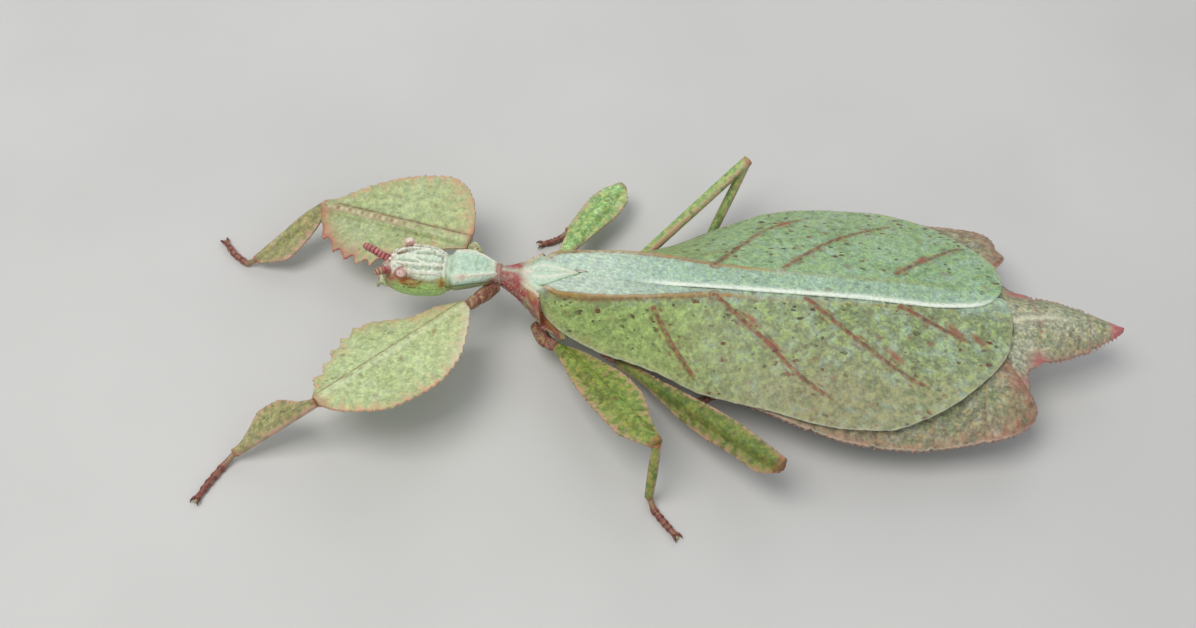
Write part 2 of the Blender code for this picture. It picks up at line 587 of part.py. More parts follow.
def add_wing(name, side, material):
    """Fore wing: a thin leaf with raised veins. side is 1 for right and -1 for left."""
    rows, columns = 34, 10
    end = RIGHT_WING_END if side > 0 else LEFT_WING_END
    inner_line = RIGHT_INNER if side > 0 else LEFT_INNER
    veins = [MAIN_VEIN] + BRANCH_VEINS
    tops, bottoms = [], []
    for i in range(rows + 1):
        u = i / rows
        x_row = WING_START + (end - WING_START) * (u + WING_ROWS_CLOSER * (u - u ** 5))
        inner = smooth(inner_line, x_row)
        outer = side * smooth(WING_HALF, x_row)
        if side < 0:
            outer += smooth(LEFT_WING_PULL_IN, x_row)
        top_row, bottom_row = [], []
        for j in range(columns + 1):
            x, y = x_row, inner + (outer - inner) * j / columns
            distance, vein_x, vein_y = nearest_on_vein(veins, x, side * y)
            raised = 0.0
            if 0 < j < columns and 0 < i < rows and distance < VEIN_SNAP:
                x, y = vein_x, side * vein_y
                raised = VEIN_HEIGHT
            z = wing_top(x, y)
            if side < 0:
                under = (y - (smooth(RIGHT_INNER, x) - OVERLAP_MARGIN - OVERLAP_BLEND)) / OVERLAP_BLEND
                z -= OVERLAP_STEP * ease(under)
            elif j == 0:
                raised = VEIN_HEIGHT * INNER_RIM_SHARE
            top_row.append(Vector((x, y, z + raised)))
            bottom_row.append(Vector((x, y, z - SHEET)))
        tops.append(top_row)
        bottoms.append(bottom_row)
    return make_part(name, slab(tops, bottoms), (WING_START, side * 2, 12), material)


def add_blade(name, start, end, roll, front, back, material, teeth="none", rows=FEMUR_ROWS):
    """Leg segment: a shaft with a thin lobe on each side."""
    start, end = Vector(start), Vector(end)
    length = (end - start).length
    along = (end - start) / length
    level = Vector((0, 0, 1)).cross(along).normalized()
    angle = math.radians(roll)
    aside = math.cos(angle) * level + math.sin(angle) * along.cross(level)
    above = along.cross(aside)
    tops, bottoms = [], []
    for i in range(rows + 1):
        s = i / rows
        width_front, width_back = smooth(front, s), smooth(back, s)
        if teeth != "none" and TOOTH_FROM < s < TOOTH_TO and i % 2 == 0:
            if teeth == "front":
                width_front += TOOTH_LENGTH
            else:
                width_back += TOOTH_LENGTH
        core = min(SHAFT_HALF, width_front * SHAFT_SHARE, width_back * SHAFT_SHARE)
        offsets = [-width_back - (core - width_back) * t for t in LOBE_COLUMNS]
        offsets += [-core, -core / 2, 0.0, core / 2, core]
        offsets += [width_front + (core - width_front) * t for t in reversed(LOBE_COLUMNS)]
        top_row, bottom_row = [], []
        for offset in offsets:
            lift = SHEET / 2 + SHAFT_LIFT * max(0.0, 1 - (offset / (core * SHAFT_SPREAD)) ** 2)
            middle = start + along * (length * s) + aside * offset
            top_row.append(middle + above * lift)
            bottom_row.append(middle - above * lift)
        tops.append(top_row)
        bottoms.append(bottom_row)
    return make_part(name, slab(tops, bottoms), start, material)


def add_tarsus(name, ankle, foot, material):
    """Foot: five short joints that lie on the floor, with a pad and two claws."""
    ankle = Vector(ankle)
    spots = [ankle, Vector((*foot[0], TARSUS_HEIGHT)), Vector((*foot[1], TARSUS_HEIGHT)),
             Vector((*foot[2], TARSUS_HEIGHT))]
    lengths = [(b - a).length for a, b in zip(spots, spots[1:])]
    total = sum(lengths)

    def at(share):
        rest = share * total
        for a, b, length in zip(spots, spots[1:], lengths):
            if rest <= length:
                return a.lerp(b, rest / length)
            rest -= length
        return spots[-1].copy()

    points = [at(s) for s in TARSUS_JOINTS]
    radii = [TARSUS_RADIUS * s for s in TARSUS_SWELL]
    part = make_part(name, tube(points, radii, 8, floor=0.0), ankle, material)
    ahead = (spots[-1] - spots[-2]).normalized()
    aside = ahead.cross(Vector((0, 0, 1)))
    claws = []
    for side in (-1, 1):
        line, radii = [], []
        for forward, out, height, radius in (CLAW_ROOT, CLAW_BEND, CLAW_TIP):
            reach = ahead * CLAW_LENGTH * forward + aside * side * out
            line.append(spots[-1] + reach + Vector((0, 0, height)))
            radii.append(radius)
        claw = tube(line, radii, 6, floor=CLAW_FLOOR)
        claws.append(make_part("claw", claw, line[0], material))
    for claw in claws:
        bpy.data.collections[OBJECT_NAME].objects.unlink(claw)
    apply_boolean(part, claws, "UNION")
    return part


def add_ball(name, centre, radii, material, rings=6, segments=10):
    """A rounded part such as an eye."""
    made = bmesh.new()
    bmesh.ops.create_uvsphere(made, u_segments=segments, v_segments=rings, radius=1)
    for vertex in made.verts:
        vertex.co = Vector([c + r * p for c, r, p in zip(centre, radii, vertex.co)])
    return make_part(name, made, centre, material)


def add_antenna(name, points, material):
    """Short feeler of a few swollen joints."""
    points = [Vector(p) for p in points]
    curve, radii = [], []
    for n in range(ANTENNA_STEPS + 1):
        s = n / ANTENNA_STEPS * (len(points) - 1)
        k = min(int(s), len(points) - 2)
        curve.append(points[k].lerp(points[k + 1], s - k))
        thinning = 1 - ANTENNA_THINNING * n / ANTENNA_STEPS
        radii.append(ANTENNA_RADIUS * thinning * ANTENNA_SWELL[n % 2])
    return make_part(name, tube(curve, radii, 7), points[0], material)


def add_mouthparts(material):
    """Jaws below the front of the head with two palps."""
    jaws = add_ball("mouthparts", JAW_CENTRE, JAW_SIZE, material)
    palps = []
    for side in (-1, 1):
        x, y, z = JAW_CENTRE
        points = [(x - ahead, y + side * out, z + up) for ahead, out, up, _ in PALP_LINE]
        palp = tube(points, [PALP_RADIUS * share for *_, share in PALP_LINE], 7)
        palps.append(make_part("palp", palp, points[0], material))
    for palp in palps:
        bpy.data.collections[OBJECT_NAME].objects.unlink(palp)
    apply_boolean(jaws, palps, "UNION")
    return jaws


def add_leg(leg, sizes, body, materials):
    """Coxa, femur, tibia and tarsus of one leg, cut clear of each other."""
    radius = sizes["coxa_radius"]
    coxa_mesh = tube(sizes["coxa"], [radius * swell for swell in COXA_SWELL], 10)
    coxa = make_part("coxa_" + leg, coxa_mesh, sizes["coxa"][0], materials["joint"])
    cut_clear(coxa, body)
    rows = FORE_FEMUR_ROWS if leg.startswith("fore") else FEMUR_ROWS
    femur = add_blade("femur_" + leg, sizes["hip"], sizes["knee"], sizes["roll"], sizes["front"],
                      sizes["rear"], materials["femur"], sizes["teeth"], rows)
    cut_clear(femur, [coxa] + body)
    tibia = add_blade("tibia_" + leg, sizes["knee"], sizes["ankle"], sizes["tibia_roll"],
                      sizes["tibia_front"], sizes["tibia_rear"], materials["femur"], rows=TIBIA_ROWS)
    cut_clear(tibia, [femur])
    tarsus = add_tarsus("tarsus_" + leg, sizes["ankle"], sizes["foot"], materials["joint"])
    cut_clear(tarsus, [tibia])
    return [coxa, femur, tibia, tarsus]


def centre_on_floor(parts):
    """Parents the parts to one empty and sets the middle of their box at the origin."""
    bpy.context.view_layer.update()
    corners = [p.matrix_world @ Vector(c) for p in parts for c in p.bound_box]
    low = Vector([min(c[k] for c in corners) for k in range(3)])
    high = Vector([max(c[k] for c in corners) for k in range(3)])
    root = bpy.data.objects.new(OBJECT_NAME + "_root", None)
    bpy.data.collections[OBJECT_NAME].objects.link(root)
    for part in parts:
        part.parent = root
    root.location = (-(low.x + high.x) / 2, -(low.y + high.y) / 2, -low.z)


def main():
    for old in list(bpy.data.objects):
        bpy.data.objects.remove(old)
    for name in (OBJECT_NAME, "cutters"):
        bpy.context.scene.collection.children.link(bpy.data.collections.new(name))
    materials = {
        "leaf": make_material("wing_green", (0.42, 0.52, 0.30), 0.6),
        "body": make_material("body_green", (0.50, 0.60, 0.42), 0.6),
        "head": make_material("head_mint", (0.56, 0.66, 0.52), 0.55),
        "femur": make_material("lobe_green", (0.52, 0.60, 0.32), 0.6),
        "joint": make_material("joint_red", (0.34, 0.10, 0.07), 0.5),
        "eye": make_material("eye_pink", (0.72, 0.52, 0.48), 0.25),
    }
    head = add_body_length("head", HEAD, materials["head"])
    prothorax = add_body_length("prothorax", PROTHORAX, materials["head"])
    mesothorax = add_body_length("mesothorax", MESOTHORAX, materials["body"])
    metathorax = add_body_length("metathorax", METATHORAX, materials["body"])
    parts = [head, prothorax, mesothorax, metathorax]
    for name, centre in EYE_CENTRES.items():
        eye = add_ball(name, centre, [EYE_RADIUS] * 3, materials["eye"])
        cut_clear(eye, [head])
        parts.append(eye)
    for name, points in ANTENNAE.items():
        antenna = add_antenna(name, points, materials["joint"])
        cut_clear(antenna, [head])
        parts.append(antenna)
    mouthparts = add_mouthparts(materials["head"])
    cut_clear(mouthparts, [head])
    parts.append(mouthparts)
    parts.append(add_abdomen(materials["body"]))
    parts.append(add_tail(materials["body"]))
    parts.append(add_wing("wing_left", -1, materials["leaf"]))
    parts.append(add_wing("wing_right", 1, materials["leaf"]))
    body = {
        "fore": [prothorax, mesothorax], "mid": [mesothorax, metathorax], "hind": [mesothorax, metathorax],
    }
    for leg, sizes in LEGS.items():
        parts += add_leg(leg, sizes, body[leg.split("_")[0]], materials)
    centre_on_floor(parts)


main()
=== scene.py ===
"""Leaf insect: the detailed skin, eyes, feelers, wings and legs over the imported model.

Lengths are in millimetres in the body's own frame, with the head at -X, the left side at -Y and
the floor at z = 0. place() turns them into metres in the model's frame.
"""

import math

import bpy
import numpy as np
from bpy.props import FloatProperty, FloatVectorProperty, IntProperty, PointerProperty
from mathutils import Matrix, Vector, kdtree


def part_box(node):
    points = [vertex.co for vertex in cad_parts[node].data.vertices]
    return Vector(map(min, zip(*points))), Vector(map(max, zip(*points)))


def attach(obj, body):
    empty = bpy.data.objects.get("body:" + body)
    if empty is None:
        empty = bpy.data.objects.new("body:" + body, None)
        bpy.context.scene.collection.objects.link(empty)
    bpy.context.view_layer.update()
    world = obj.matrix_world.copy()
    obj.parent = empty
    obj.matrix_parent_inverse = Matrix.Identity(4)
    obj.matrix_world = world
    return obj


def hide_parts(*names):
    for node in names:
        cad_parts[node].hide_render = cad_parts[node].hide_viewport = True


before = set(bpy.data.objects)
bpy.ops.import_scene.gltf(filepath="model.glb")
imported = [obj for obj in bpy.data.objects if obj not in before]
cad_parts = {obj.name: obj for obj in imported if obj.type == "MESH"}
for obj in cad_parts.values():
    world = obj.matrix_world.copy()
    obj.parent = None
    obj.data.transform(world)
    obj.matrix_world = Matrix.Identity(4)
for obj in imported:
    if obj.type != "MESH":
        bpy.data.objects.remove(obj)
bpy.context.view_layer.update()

bl_info = {
    "name": "Leaf Insect",
    "version": (1, 0, 0),
    "blender": (4, 5, 0),
    "location": "3D View > Sidebar > Leaf Insect",
    "description": "Builds a still, life-size leaf insect on its feet",
    "category": "Add Mesh",
}

MM = 0.001
SIDES = (("left", -1), ("right", 1))

# Wings: (x, value) stations of the back line, the flat strip, the slope and the outline.
WING_RIDGE = [(-30, 12.0), (-22, 12.6), (0, 13.6), (25, 13.4), (42, 12.4), (50, 10.8)]
BACK_STRIP = [(-24, 3.0), (-20, 3.9), (-9, 4.2), (0, 2.6), (8, 1.0), (43, 0.6)]
SLOPE_HOLLOW = [(-24, 0.1), (-7, 0.15), (4, 0.5), (43, 0.5)]
WING_HALF = [
    (-23.4, 3.6), (-22.2, 5.0), (-20.1, 6.7), (-17.7, 7.6), (-14.3, 8.8), (-11.2, 9.7),
    (-8.2, 10.7), (-5, 12.0), (0, 14.7), (5, 16.6), (10, 18.2), (15, 19.4), (20, 19.9),
    (25, 19.8), (30, 18.2), (34, 16.0), (38, 12.7), (40, 10.7), (42, 8.0), (43.1, 4.6),
]
WING_EDGE_Z = [
    (-23.4, 10.2), (-22.2, 8.6), (-20.1, 7.9), (-17.7, 6.9), (-14.3, 6.1), (-11.2, 5.9),
    (-8.2, 5.9), (-2, 5.9), (3, 6.8), (10, 8.1), (20, 7.8), (25, 8.0), (30, 8.8),
    (34, 9.6), (40, 10.7), (43.1, 11.4),
]
WING_START = -23.1
WING_END = {"left": 43.1, "right": 42.6}
WING_FRONT = -23.7
INNER_EDGE = {
    "right": [
        (-23.1, 1.0), (-20, 0.6), (-18.3, 0.3), (-9.3, -1.3), (-2.3, -1.7), (20, -1.6),
        (31.2, -1.9), (36.3, -1.4), (38.7, -0.8), (40.5, 0.3), (41.8, 2.0), (42.4, 3.6), (42.6, 5.0),
    ],
    "left": [
        (-23.1, -0.8), (-21, -0.2), (-18, 0.9), (-9, 1.3), (40, 1.3), (41.8, 1.2), (42.6, 0.4),
        (42.9, -0.9), (43.1, -2.6),
    ],
}
LEFT_WING_PULL_IN = [(41.5, 0.0), (42.4, 0.1), (42.9, 0.4), (43.1, 1.2)]
OVERLAP_STEP = 0.88
BODY_CLEARANCE = 0.88
SKIN_DROP = 0.11
MAIN_VEIN = [(-22.6, 2.6), (-20.0, 3.9), (-12.1, 4.1), (-3.7, 3.4), (1.1, 2.8), (14, 2.4), (36, 2.3)]
BRANCH_VEINS = {
    "left": [
        [(-7.3, 5.2), (-3.8, 9.6), (-0.4, 13.4)],
        [(1.1, 2.8), (7.5, 8.1), (13.2, 13.5), (19.2, 17.3)],
        [(13.9, 2.2), (21.5, 8.3), (27.8, 12.6), (31.3, 14.2)],
        [(27.2, 2.3), (34.0, 5.8), (37.6, 7.3)],
    ],
    "right": [
        [(-1.8, 3.9), (3.2, 7.1), (6.2, 8.2)],
        [(1.1, 2.8), (5.2, 8.2), (9.0, 12.7), (16.7, 17.4)],
        [(10.9, 3.3), (19.5, 11.3), (29.2, 16.4)],
        [(27.0, 4.0), (35.7, 10.2), (38.4, 11.4)],
    ],
}
STRIP_REACH = [(-24, 3.0), (-12, 4.1), (-3, 3.4), (4, 2.9), (12, 2.5), (42, 1.6)]
STRIP_PALENESS = [(-24, 1.0), (-8, 0.95), (4, 0.62), (12, 0.53), (43, 0.5)]
BASE_WARMTH = [(-24, 1.0), (-6, 0.95), (2, 0.45), (14, 0.2), (43, 0.1)]
# Painted shadow: a dark line beside the inner edge of the right wing near the roots, where it lies over the
# left wing.
SLIT_SHADOW = [(-18.6, 0.6), (-16.8, 0.2)]
RED_SPOTS = [(6.5, -6.0), (9.3, -9.4), (26.2, -9.8), (34.7, -5.2), (38.0, -6.3), (12.0, 14.8), (31.0, 7.4)]

# Abdomen and its narrow last segments.
ABDOMEN_START = -8.7
ABDOMEN_END = 45.1
ABDOMEN_RIDGE = [
    (-9, 11.3), (0, 11.7), (25, 11.6), (38, 10.8), (43, 10.8), (46, 10.9), (50, 10.6), (60.3, 9.0),
]
ABDOMEN_HALF = [
    (-8.7, 8.4), (-5, 10.2), (0, 13.0), (5, 15.6), (10, 18.0), (15, 19.8), (20, 20.9),
    (25, 21.2), (30, 21.0), (34, 20.2), (38, 19.5), (41, 18.8), (43, 18.0), (44.4, 16.7),
    (45.1, 15.4),
]
ABDOMEN_EDGE_Z = [
    (-8.7, 5.4), (0, 5.4), (10, 7.2), (15, 6.9), (20, 6.3), (25, 5.8), (34, 5.5), (38, 6.1),
    (43, 6.6), (45.1, 6.2),
]
ABDOMEN_SLOPE_POWER = [(-9, 1.7), (28, 1.7), (42, 2.8)]
BELLY_DEPTH = [(-8.7, 5.6), (20, 5.0), (35, 3.2), (45.1, 1.2)]
BELLY_HALF = 8.5
LOBE_BULGE = {"left": 1.4, "right": -0.8}
REAR_HOLLOW = 3.0
SEGMENT_LINES = [-1.5, 6.5, 15.0, 23.5, 31.5, 38.6]
TAIL_START = 45.5
TAIL_END = 60.3
TAIL_HALF = [
    (45.5, 9.9), (46.2, 9.2), (47.0, 8.0), (48.2, 6.5), (50.0, 5.6), (52.0, 4.9),
    (53.3, 4.3), (55.0, 3.65), (57.0, 2.4), (59.0, 1.25), (60.3, 0.35),
]
TAIL_RIDGE = [(45.5, 10.8), (50, 10.5), (60.3, 9.0)]
TAIL_EDGE_Z = [(45.5, 8.3), (50, 8.1), (55, 8.2), (60.3, 8.4)]
TAIL_DEPTH = [(45.5, 1.2), (52, 0.8), (60.3, 0.0)]
TAIL_DRIFT = [(45.5, -1.85), (47.0, -1.5), (48.2, -0.95), (50, -0.6), (55, -0.35), (60.3, 0.0)]
TAIL_LINES = [49.0, 55.2]

# Head and thorax: (x, half width, top, bottom, height of the widest line).
PROTHORAX = [
    (-36.05, 2.4, 12.4, 8.8, 10.8), (-35.3, 3.1, 12.8, 8.7, 11.6), (-33.6, 3.0, 12.9, 9.0, 11.8),
    (-31.6, 2.3, 12.7, 9.3, 11.4), (-30.1, 1.5, 12.2, 9.5, 11.0), (-29.45, 1.2, 11.9, 9.5, 10.7),
]
MESOTHORAX = [
    (-29.1, 1.2, 11.8, 8.7, 10.3), (-27.8, 1.7, 11.9, 8.2, 10.1), (-26.2, 2.7, 12.1, 7.3, 9.8),
    (-24.8, 3.9, 12.3, 6.4, 9.4), (-23.5, 5.2, 12.4, 5.5, 8.9), (-22.3, 6.3, 11.4, 5.0, 8.4),
    (-20.6, 7.1, 11.3, 4.7, 7.9), (-19.35, 7.1, 11.3, 4.6, 7.4),
]
# How far the pale plate of the thorax and its rim reach out, as shares of the half width.
PLATE_SHARE = [(-29, 0.35), (-26.5, 0.62), (-24.5, 0.66), (-20, 0.66)]
PLATE_RIM = [(-29, 0.4), (-26.5, 0.66), (-20, 0.72)]
METATHORAX = [
    (-19.0, 6.9, 11.3, 4.6, 7.0), (-16.5, 6.9, 11.2, 4.4, 6.2), (-13.5, 7.3, 11.2, 4.4, 5.8),
    (-11, 7.9, 11.2, 4.5, 5.7), (-9.05, 8.2, 11.2, 4.7, 5.6),
]
HEAD = [
    (-45.7, 1.0, 11.4, 8.9, 10.2), (-45.2, 1.9, 12.0, 8.2, 10.3), (-44.2, 2.7, 12.7, 7.5, 10.6),
    (-42.8, 3.25, 13.2, 7.0, 10.9), (-41, 3.45, 13.45, 6.8, 10.9), (-38.8, 3.35, 13.35, 6.9, 10.8),
    (-37.2, 2.85, 13.0, 7.3, 10.5), (-36.4, 2.3, 12.5, 8.0, 10.3),
]
# Exponent of the cross-sections: 1 is round, less is boxier.
ROUNDNESS = 0.85
# The head and the shield are turned a little to the right of the body's middle line.
BODY_ASIDE = [(-46, 0.25), (-41, 0.3), (-36, 0.2), (-32, 0.5), (-29.4, 0.5), (-27.5, 0.2), (-25.5, 0.0)]
EYE_CENTRES = {"left": (-42.65, -2.4, 12.85), "right": (-42.2, 3.25, 13.05)}
ANTENNAE = {
    "left": [(-44.2, -0.9, 11.4), (-45.2, -1.8, 12.5), (-45.8, -2.3, 12.85), (-46.45, -2.65, 12.75)],
    "right": [(-44.3, 0.8, 11.6), (-46.0, 1.1, 12.4), (-47.3, 1.65, 12.8), (-48.75, 2.45, 12.65)],
}
# Folds of soft skin between head, shield and thorax, in the same form as the stations above.
FOLDS = {
    "neck_fold": [
        (-37.1, 2.2, 12.3, 8.4, 10.4), (-36.7, 2.5, 12.62, 8.2, 10.5), (-36.3, 2.62, 12.58, 8.3, 10.6),
        (-35.9, 2.62, 12.5, 8.6, 10.8), (-35.5, 2.4, 12.3, 9.0, 10.9),
    ],
    "waist_fold": [
        (-30.0, 1.3, 11.9, 9.6, 10.8), (-29.6, 1.42, 12.08, 9.2, 10.7), (-29.2, 1.5, 12.1, 9.0, 10.5),
        (-28.8, 1.4, 11.9, 9.0, 10.3), (-28.5, 1.2, 11.7, 9.2, 10.2),
    ],
}
SCUTELLUM = [
    (-24.9, 1.2), (-24.2, 1.9), (-23.2, 2.3), (-22.2, 2.1), (-21.0, 1.5), (-19.8, 0.9), (-18.6, 0.35),
    (-18.0, 0.1),
]
JAW_CENTRE = (-45.2, 0.25, 8.6)
JAW_SIZE = (1.4, 1.5, 1.2)
# Palps: points of a palp from the centre of the jaws as (along, outward, up).
PALP_STEPS = ((0.2, 0.8, 0.0), (-0.9, 1.2, 0.1), (-1.4, 1.3, -0.8))
PALP_RADIUS = 0.36
PALP_SEAMS = (0.38, 0.66)
# Ridges and grooves of the head: (line of (x, distance from the middle), strength, width).
HEAD_RIDGES = (
    ([(-43.6, 0.0), (-41.0, 0.1), (-39.2, 0.0)], 0.55, 0.17),
    ([(-44.3, 0.7), (-43.0, 1.25), (-41.2, 1.55), (-38.8, 1.4), (-36.9, 0.95)], 1.0, 0.24),
    ([(-41.6, 2.35), (-40.2, 2.55), (-38.2, 2.35), (-36.9, 1.9)], 0.85, 0.22),
    ([(-42.3, 0.1), (-41.0, 0.75), (-39.4, 1.3)], 0.7, 0.17),
    ([(-36.85, 0.0), (-36.8, 1.2), (-36.75, 2.4)], 0.8, 0.18),
    ([(-43.9, 0.4), (-44.3, 1.2), (-43.9, 2.0)], 0.8, 0.2),
)
HEAD_GROOVES = (
    ([(-43.4, 0.55), (-41.9, 0.95), (-40.6, 1.1)], 1.0, 0.2),
    ([(-40.6, 0.45), (-38.8, 0.7), (-37.2, 0.5)], 1.0, 0.24),
    ([(-42.6, 1.85), (-40.8, 2.05), (-38.6, 1.9), (-37.2, 1.45)], 1.0, 0.2),
    ([(-37.2, 0.0), (-37.15, 2.5)], 1.0, 0.14),
)
# Cleft on the right of the head: a shallow groove whose dark line is painted shade.
HEAD_CLEFT = [(-44.0, 1.25), (-43.2, 1.2), (-42.4, 1.45)]
HEAD_CREASE = [(-40.9, 0.35), (-39.0, 0.95), (-37.1, 1.1)]
CHEEK_LINE = [(-40.5, 11.95), (-38.5, 11.9), (-37.2, 11.8)]

# Feelers: shares of the length where the joints meet, and the radius along them.
FEELER_SEAMS = (0.16, 0.28, 0.38, 0.48, 0.58, 0.69, 0.80, 0.90)
FEELER_RADII = [(0, 0.55), (0.1, 0.68), (0.17, 0.6), (0.3, 0.6), (0.7, 0.58), (0.9, 0.5), (1, 0.34)]

AMBER = (0.43, 0.24, 0.06)

# Legs: joints, and the widths of the lobes on both sides as (share of the length, width).
THIN_TIBIA = [(0, 0.6), (0.5, 0.7), (1, 0.6)]
LEGS = {
    "fore_left": {
        "coxa": [(-29.7, -0.4, 9.1), (-31.2, -2.2, 9.1), (-33.0, -4.6, 9.6)],
        "hip": (-33.5, -5.0, 9.8), "knee": (-51.5, -22.3, 9.0), "ankle": (-62.6, -26.3, 1.3),
        "foot": [(-64.0, -28.0), (-65.4, -30.8), (-66.4, -33.3)],
        "roll": 15, "radius": 1.0, "teeth": "rear",
        "front": [(0, 1.1), (0.09, 3.8), (0.29, 8.0), (0.48, 9.5), (0.71, 8.7), (0.88, 5.8), (0.96, 3.4),
                  (1, 1.0)],
        "rear": [(0, 1.2), (0.12, 3.0), (0.27, 4.1), (0.38, 6.4), (0.47, 8.2), (0.57, 7.8), (0.7, 6.6),
                 (0.82, 4.5), (0.93, 2.9), (1, 1.0)],
        "tibia_front": [(0, 0.7), (0.5, 0.7), (1, 0.6)],
        "tibia_rear": [(0, 0.6), (0.15, 1.4), (0.45, 3.9), (0.63, 4.0), (0.78, 2.4), (0.92, 1.0), (1, 0.7)],
    },
    "fore_right": {
        "coxa": [(-30.0, 0.9, 9.0), (-31.9, 3.7, 8.8), (-33.7, 6.6, 9.3)],
        "hip": (-34.2, 7.2, 9.4), "knee": (-57.0, 14.4, 6.8), "ankle": (-66.6, 7.5, 1.3),
        "foot": [(-68.0, 7.4), (-70.2, 9.0), (-72.1, 11.4)],
        "roll": -15, "radius": 1.0, "teeth": "front",
        "front": [(0, 1.2), (0.2, 2.6), (0.38, 4.0), (0.5, 5.8), (0.62, 6.8), (0.75, 6.4), (0.86, 5.0),
                  (0.95, 3.2), (1, 1.0)],
        "rear": [(0, 2.0), (0.05, 5.2), (0.11, 7.5), (0.19, 9.1), (0.28, 9.7), (0.4, 9.2), (0.51, 8.4),
                 (0.62, 7.2), (0.73, 5.5), (0.84, 3.5), (0.93, 1.7), (1, 1.0)],
        "tibia_front": [(0, 0.6), (0.12, 1.9), (0.36, 3.1), (0.65, 3.7), (0.88, 2.0), (1, 0.7)],
        "tibia_rear": [(0, 0.6), (0.27, 1.1), (0.6, 0.8), (1, 0.6)],
    },
    "mid_left": {
        "coxa": [(-23.6, -3.4, 4.4), (-22.2, -6.0, 4.5), (-20.6, -7.6, 5.3)],
        "hip": (-20.2, -8.2, 5.8), "knee": (-6.1, -25.8, 10.0), "ankle": (-6.4, -28.6, 1.3),
        "foot": [(-5.6, -30.2), (-4.0, -32.2), (-2.6, -33.8)],
        "roll": 0, "radius": 1.0, "teeth": "none",
        "front": [(0, 0.8), (0.1, 2.0), (0.28, 3.3), (0.47, 4.2), (0.6, 4.1), (0.71, 3.3), (0.85, 1.9),
                  (1, 0.9)],
        "rear": [(0, 0.8), (0.12, 1.3), (0.31, 2.3), (0.5, 2.8), (0.78, 3.0), (0.9, 2.0), (1, 0.9)],
        "tibia_front": THIN_TIBIA, "tibia_rear": THIN_TIBIA,
    },
    "mid_right": {
        "coxa": [(-23.6, 3.4, 4.4), (-22.4, 6.0, 4.4), (-21.4, 7.6, 4.9)],
        "hip": (-21.2, 8.2, 5.2), "knee": (-12.5, 25.3, 4.0), "ankle": (-20.4, 17.6, 1.2),
        "foot": [(-21.4, 16.8), (-22.8, 15.9), (-24.2, 15.4)],
        "roll": 0, "radius": 1.0, "teeth": "none",
        "front": [(0, 0.8), (0.24, 1.7), (0.44, 2.6), (0.71, 2.8), (0.88, 2.2), (1, 0.9)],
        "rear": [(0, 0.8), (0.2, 1.0), (0.35, 1.5), (0.52, 2.0), (0.71, 2.6), (0.86, 2.4), (1, 0.9)],
        "tibia_front": THIN_TIBIA, "tibia_rear": THIN_TIBIA,
    },
    "hind_left": {
        "coxa": [(-14.6, -4.2, 3.4), (-13.4, -6.2, 3.2), (-12.0, -7.6, 3.3)],
        "hip": (-11.4, -8.2, 3.4), "knee": (10.6, -26.9, 8.5), "ankle": (-1.3, -13.2, 1.3),
        "foot": [(0.6, -11.8), (3.8, -10.2), (7.2, -9.0)],
        "roll": 40, "radius": 0.95, "teeth": "none",
        "front": [(0, 0.7), (0.2, 0.9), (0.44, 1.4), (0.57, 1.7), (0.72, 1.8), (0.86, 1.5), (1, 1.1)],
        "rear": [(0, 0.7), (0.17, 0.9), (0.32, 1.6), (0.46, 2.3), (0.59, 2.5), (0.75, 2.4), (0.89, 2.6),
                 (1, 1.1)],
        "tibia_front": THIN_TIBIA, "tibia_rear": THIN_TIBIA,
    },
    "hind_right": {
        "coxa": [(-14.6, 4.2, 3.4), (-13.4, 6.2, 3.2), (-12.0, 7.6, 3.3)],
        "hip": (-11.4, 8.2, 3.4), "knee": (6.3, 25.1, 12.0), "ankle": (0.5, 15.4, 1.3),
        "foot": [(2.2, 14.4), (5.2, 12.6), (8.6, 11.0)],
        "roll": -40, "radius": 0.95, "teeth": "none",
        "front": [(0, 0.7), (0.17, 0.9), (0.4, 1.3), (0.6, 1.6), (0.8, 1.6), (1, 0.9)],
        "rear": [(0, 0.7), (0.3, 0.8), (0.6, 1.0), (0.85, 1.2), (1, 0.9)],
        "tibia_front": THIN_TIBIA, "tibia_rear": THIN_TIBIA,
    },
}
HIP_RADII = [(0, 0.95), (0.3, 1.05), (0.62, 0.98), (0.72, 0.78), (0.8, 0.9), (1, 0.8)]
SHAFT_HALF = 0.85
LOWEST_BLADE = 0.05
# Femora: points of the mesh, length and pitch of the fine teeth, and width of the salmon rim.
BROAD_BLADE = {"rows": 300, "columns": 110, "fine": 0.2, "pitch": 1.25, "rim": 0.85}
SLIM_BLADE = {"rows": 200, "columns": 70, "fine": 0.12, "pitch": 0.9, "rim": 0.75}
TEETH_AT = [12 / 22, 14 / 22, 16 / 22, 18 / 22, 20 / 22]
TARSUS_HEIGHT = 0.42
TARSUS_JOINTS = [0.04, 0.2, 0.36, 0.4, 0.52, 0.56, 0.67, 0.71, 0.8, 0.84, 1.0]
TARSUS_SEAMS = (0.38, 0.54, 0.69, 0.82)
TARSUS_SWELL = [0.8, 0.85, 1.15, 0.85, 1.15, 0.85, 1.15, 0.85, 1.1, 0.8, 0.9]
# Claws and pads: points from the end of the foot as (ahead, outward, up) and (ahead, down).
CLAW_STEPS = ((-0.35, 0.16, 0.0), (0.05, 0.36, 0.14), (0.45, 0.5, 0.08), (0.77, 0.56, -0.2))
CLAW_RADII = [(0, 0.25), (0.35, 0.22), (0.8, 0.1), (1, 0.035)]
PAD_STEPS = ((-0.3, 0.12), (0.25, 0.14), (0.55, 0.2))
PAD_HALF = 0.26

